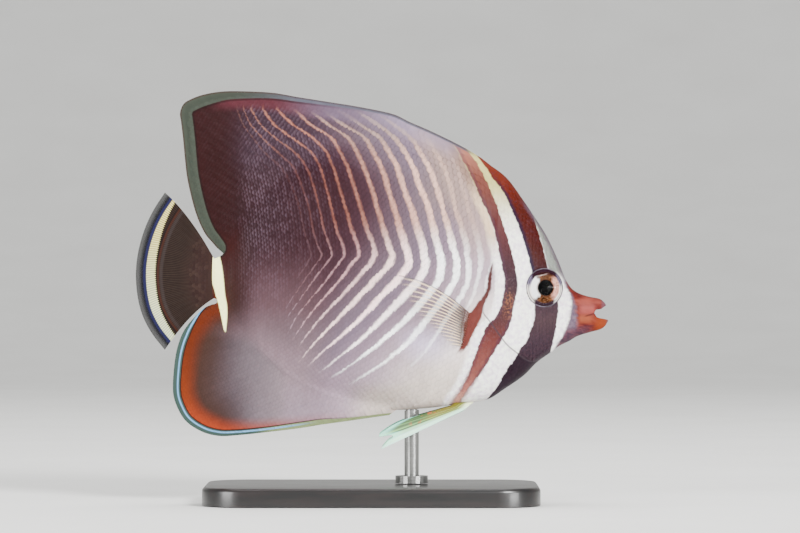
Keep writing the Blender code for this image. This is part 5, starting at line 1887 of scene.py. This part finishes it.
def area_light(name, aim, place, size, power):
    lamp = bpy.data.lights.new(name, "AREA")
    lamp.shape = "RECTANGLE"
    lamp.size, lamp.size_y = size
    lamp.energy = power
    made = bpy.data.objects.new(name, lamp)
    made.location = place
    made.rotation_euler = (Vector(aim) - Vector(place)).to_track_quat("-Z", "Y").to_euler()
    bpy.context.scene.collection.objects.link(made)


class FISH_OT_stage(bpy.types.Operator):
    """Set the floor, lights and camera"""

    bl_idname = "fish.stage"
    bl_label = "Stage"

    def execute(self, context):
        settings = context.scene.fish_stage
        bpy.ops.object.select_all(action="DESELECT")
        turn = np.linspace(0, math.pi / 2, 25)
        rise = zip(FLOOR_BEND + FLOOR_CURVE * np.sin(turn), FLOOR_CURVE - FLOOR_CURVE * np.cos(turn))
        line = [(-FLOOR_REACH, 0), *rise, (FLOOR_BEND + FLOOR_CURVE, FLOOR_HEIGHT)]
        points = np.array([(x, y, z - 0.0002) for y, z in line for x in (-FLOOR_REACH, FLOOR_REACH)]) / MM
        index = np.arange(len(points)).reshape(-1, 2)
        floor = new_mesh_object("floor", points, [grid_quads(index)])
        graph = Graph("pale floor", roughness=0.7)
        colour = graph.mix(graph.noise(graph.place()[0], 0.02) * 0.2, settings.backdrop, (214, 212, 208))
        floor.data.materials.append(graph.finish(base_color=colour))
        world = bpy.data.worlds.new("studio")
        world.use_nodes = True
        sky = world.node_tree.nodes["Background"].inputs
        sky["Color"].default_value = SKY_COLOUR
        sky["Strength"].default_value = SKY_STRENGTH
        context.scene.world = world
        aim = (settings.view_x, 0, settings.view_z)
        for name, lamp in LAMPS.items():
            area_light(name, aim, *lamp)
        camera = bpy.data.cameras.new("camera")
        camera.sensor_width = SENSOR_WIDTH
        camera.lens = camera.sensor_width * settings.distance / settings.view_width
        camera.clip_end = SIGHT
        made = bpy.data.objects.new("camera", camera)
        made.location = (settings.view_x, -settings.distance, settings.view_z)
        made.rotation_euler = (math.pi / 2, 0, 0)
        context.scene.collection.objects.link(made)
        context.scene.camera = made
        return {"FINISHED"}


OPERATORS = (FISH_OT_stage, FISH_OT_skin, FISH_OT_scales, FISH_OT_eyes, FISH_OT_paired_fins, FISH_OT_stand)


class FISH_PT_panel(bpy.types.Panel):
    bl_idname = "FISH_PT_panel"
    bl_label = "Butterflyfish"
    bl_space_type = "VIEW_3D"
    bl_region_type = "UI"
    bl_category = "Butterflyfish"

    def draw(self, context):
        for operator in OPERATORS:
            self.layout.operator(operator.bl_idname)
        for settings in (context.scene.fish_stage, context.scene.fish_marks, context.scene.fish_scales):
            box = self.layout.box()
            for key in settings.__annotations__:
                box.prop(settings, key)


GROUPS = {"fish_stage": StageSettings, "fish_marks": MarkingSettings, "fish_scales": ScaleSettings}


def register():
    for group in GROUPS.values():
        bpy.utils.register_class(group)
    for key, group in GROUPS.items():
        setattr(bpy.types.Scene, key, bpy.props.PointerProperty(type=group))
    for operator in OPERATORS:
        bpy.utils.register_class(operator)
    bpy.utils.register_class(FISH_PT_panel)


def unregister():
    bpy.utils.unregister_class(FISH_PT_panel)
    for operator in reversed(OPERATORS):
        bpy.utils.unregister_class(operator)
    for key, group in GROUPS.items():
        delattr(bpy.types.Scene, key)
        bpy.utils.unregister_class(group)


def main():
    register()
    bpy.ops.fish.stage()
    bpy.ops.fish.skin()
    bpy.ops.fish.scales()
    bpy.ops.fish.eyes()
    bpy.ops.fish.paired_fins()
    bpy.ops.fish.stand()


if __name__ == "__main__":
    main()
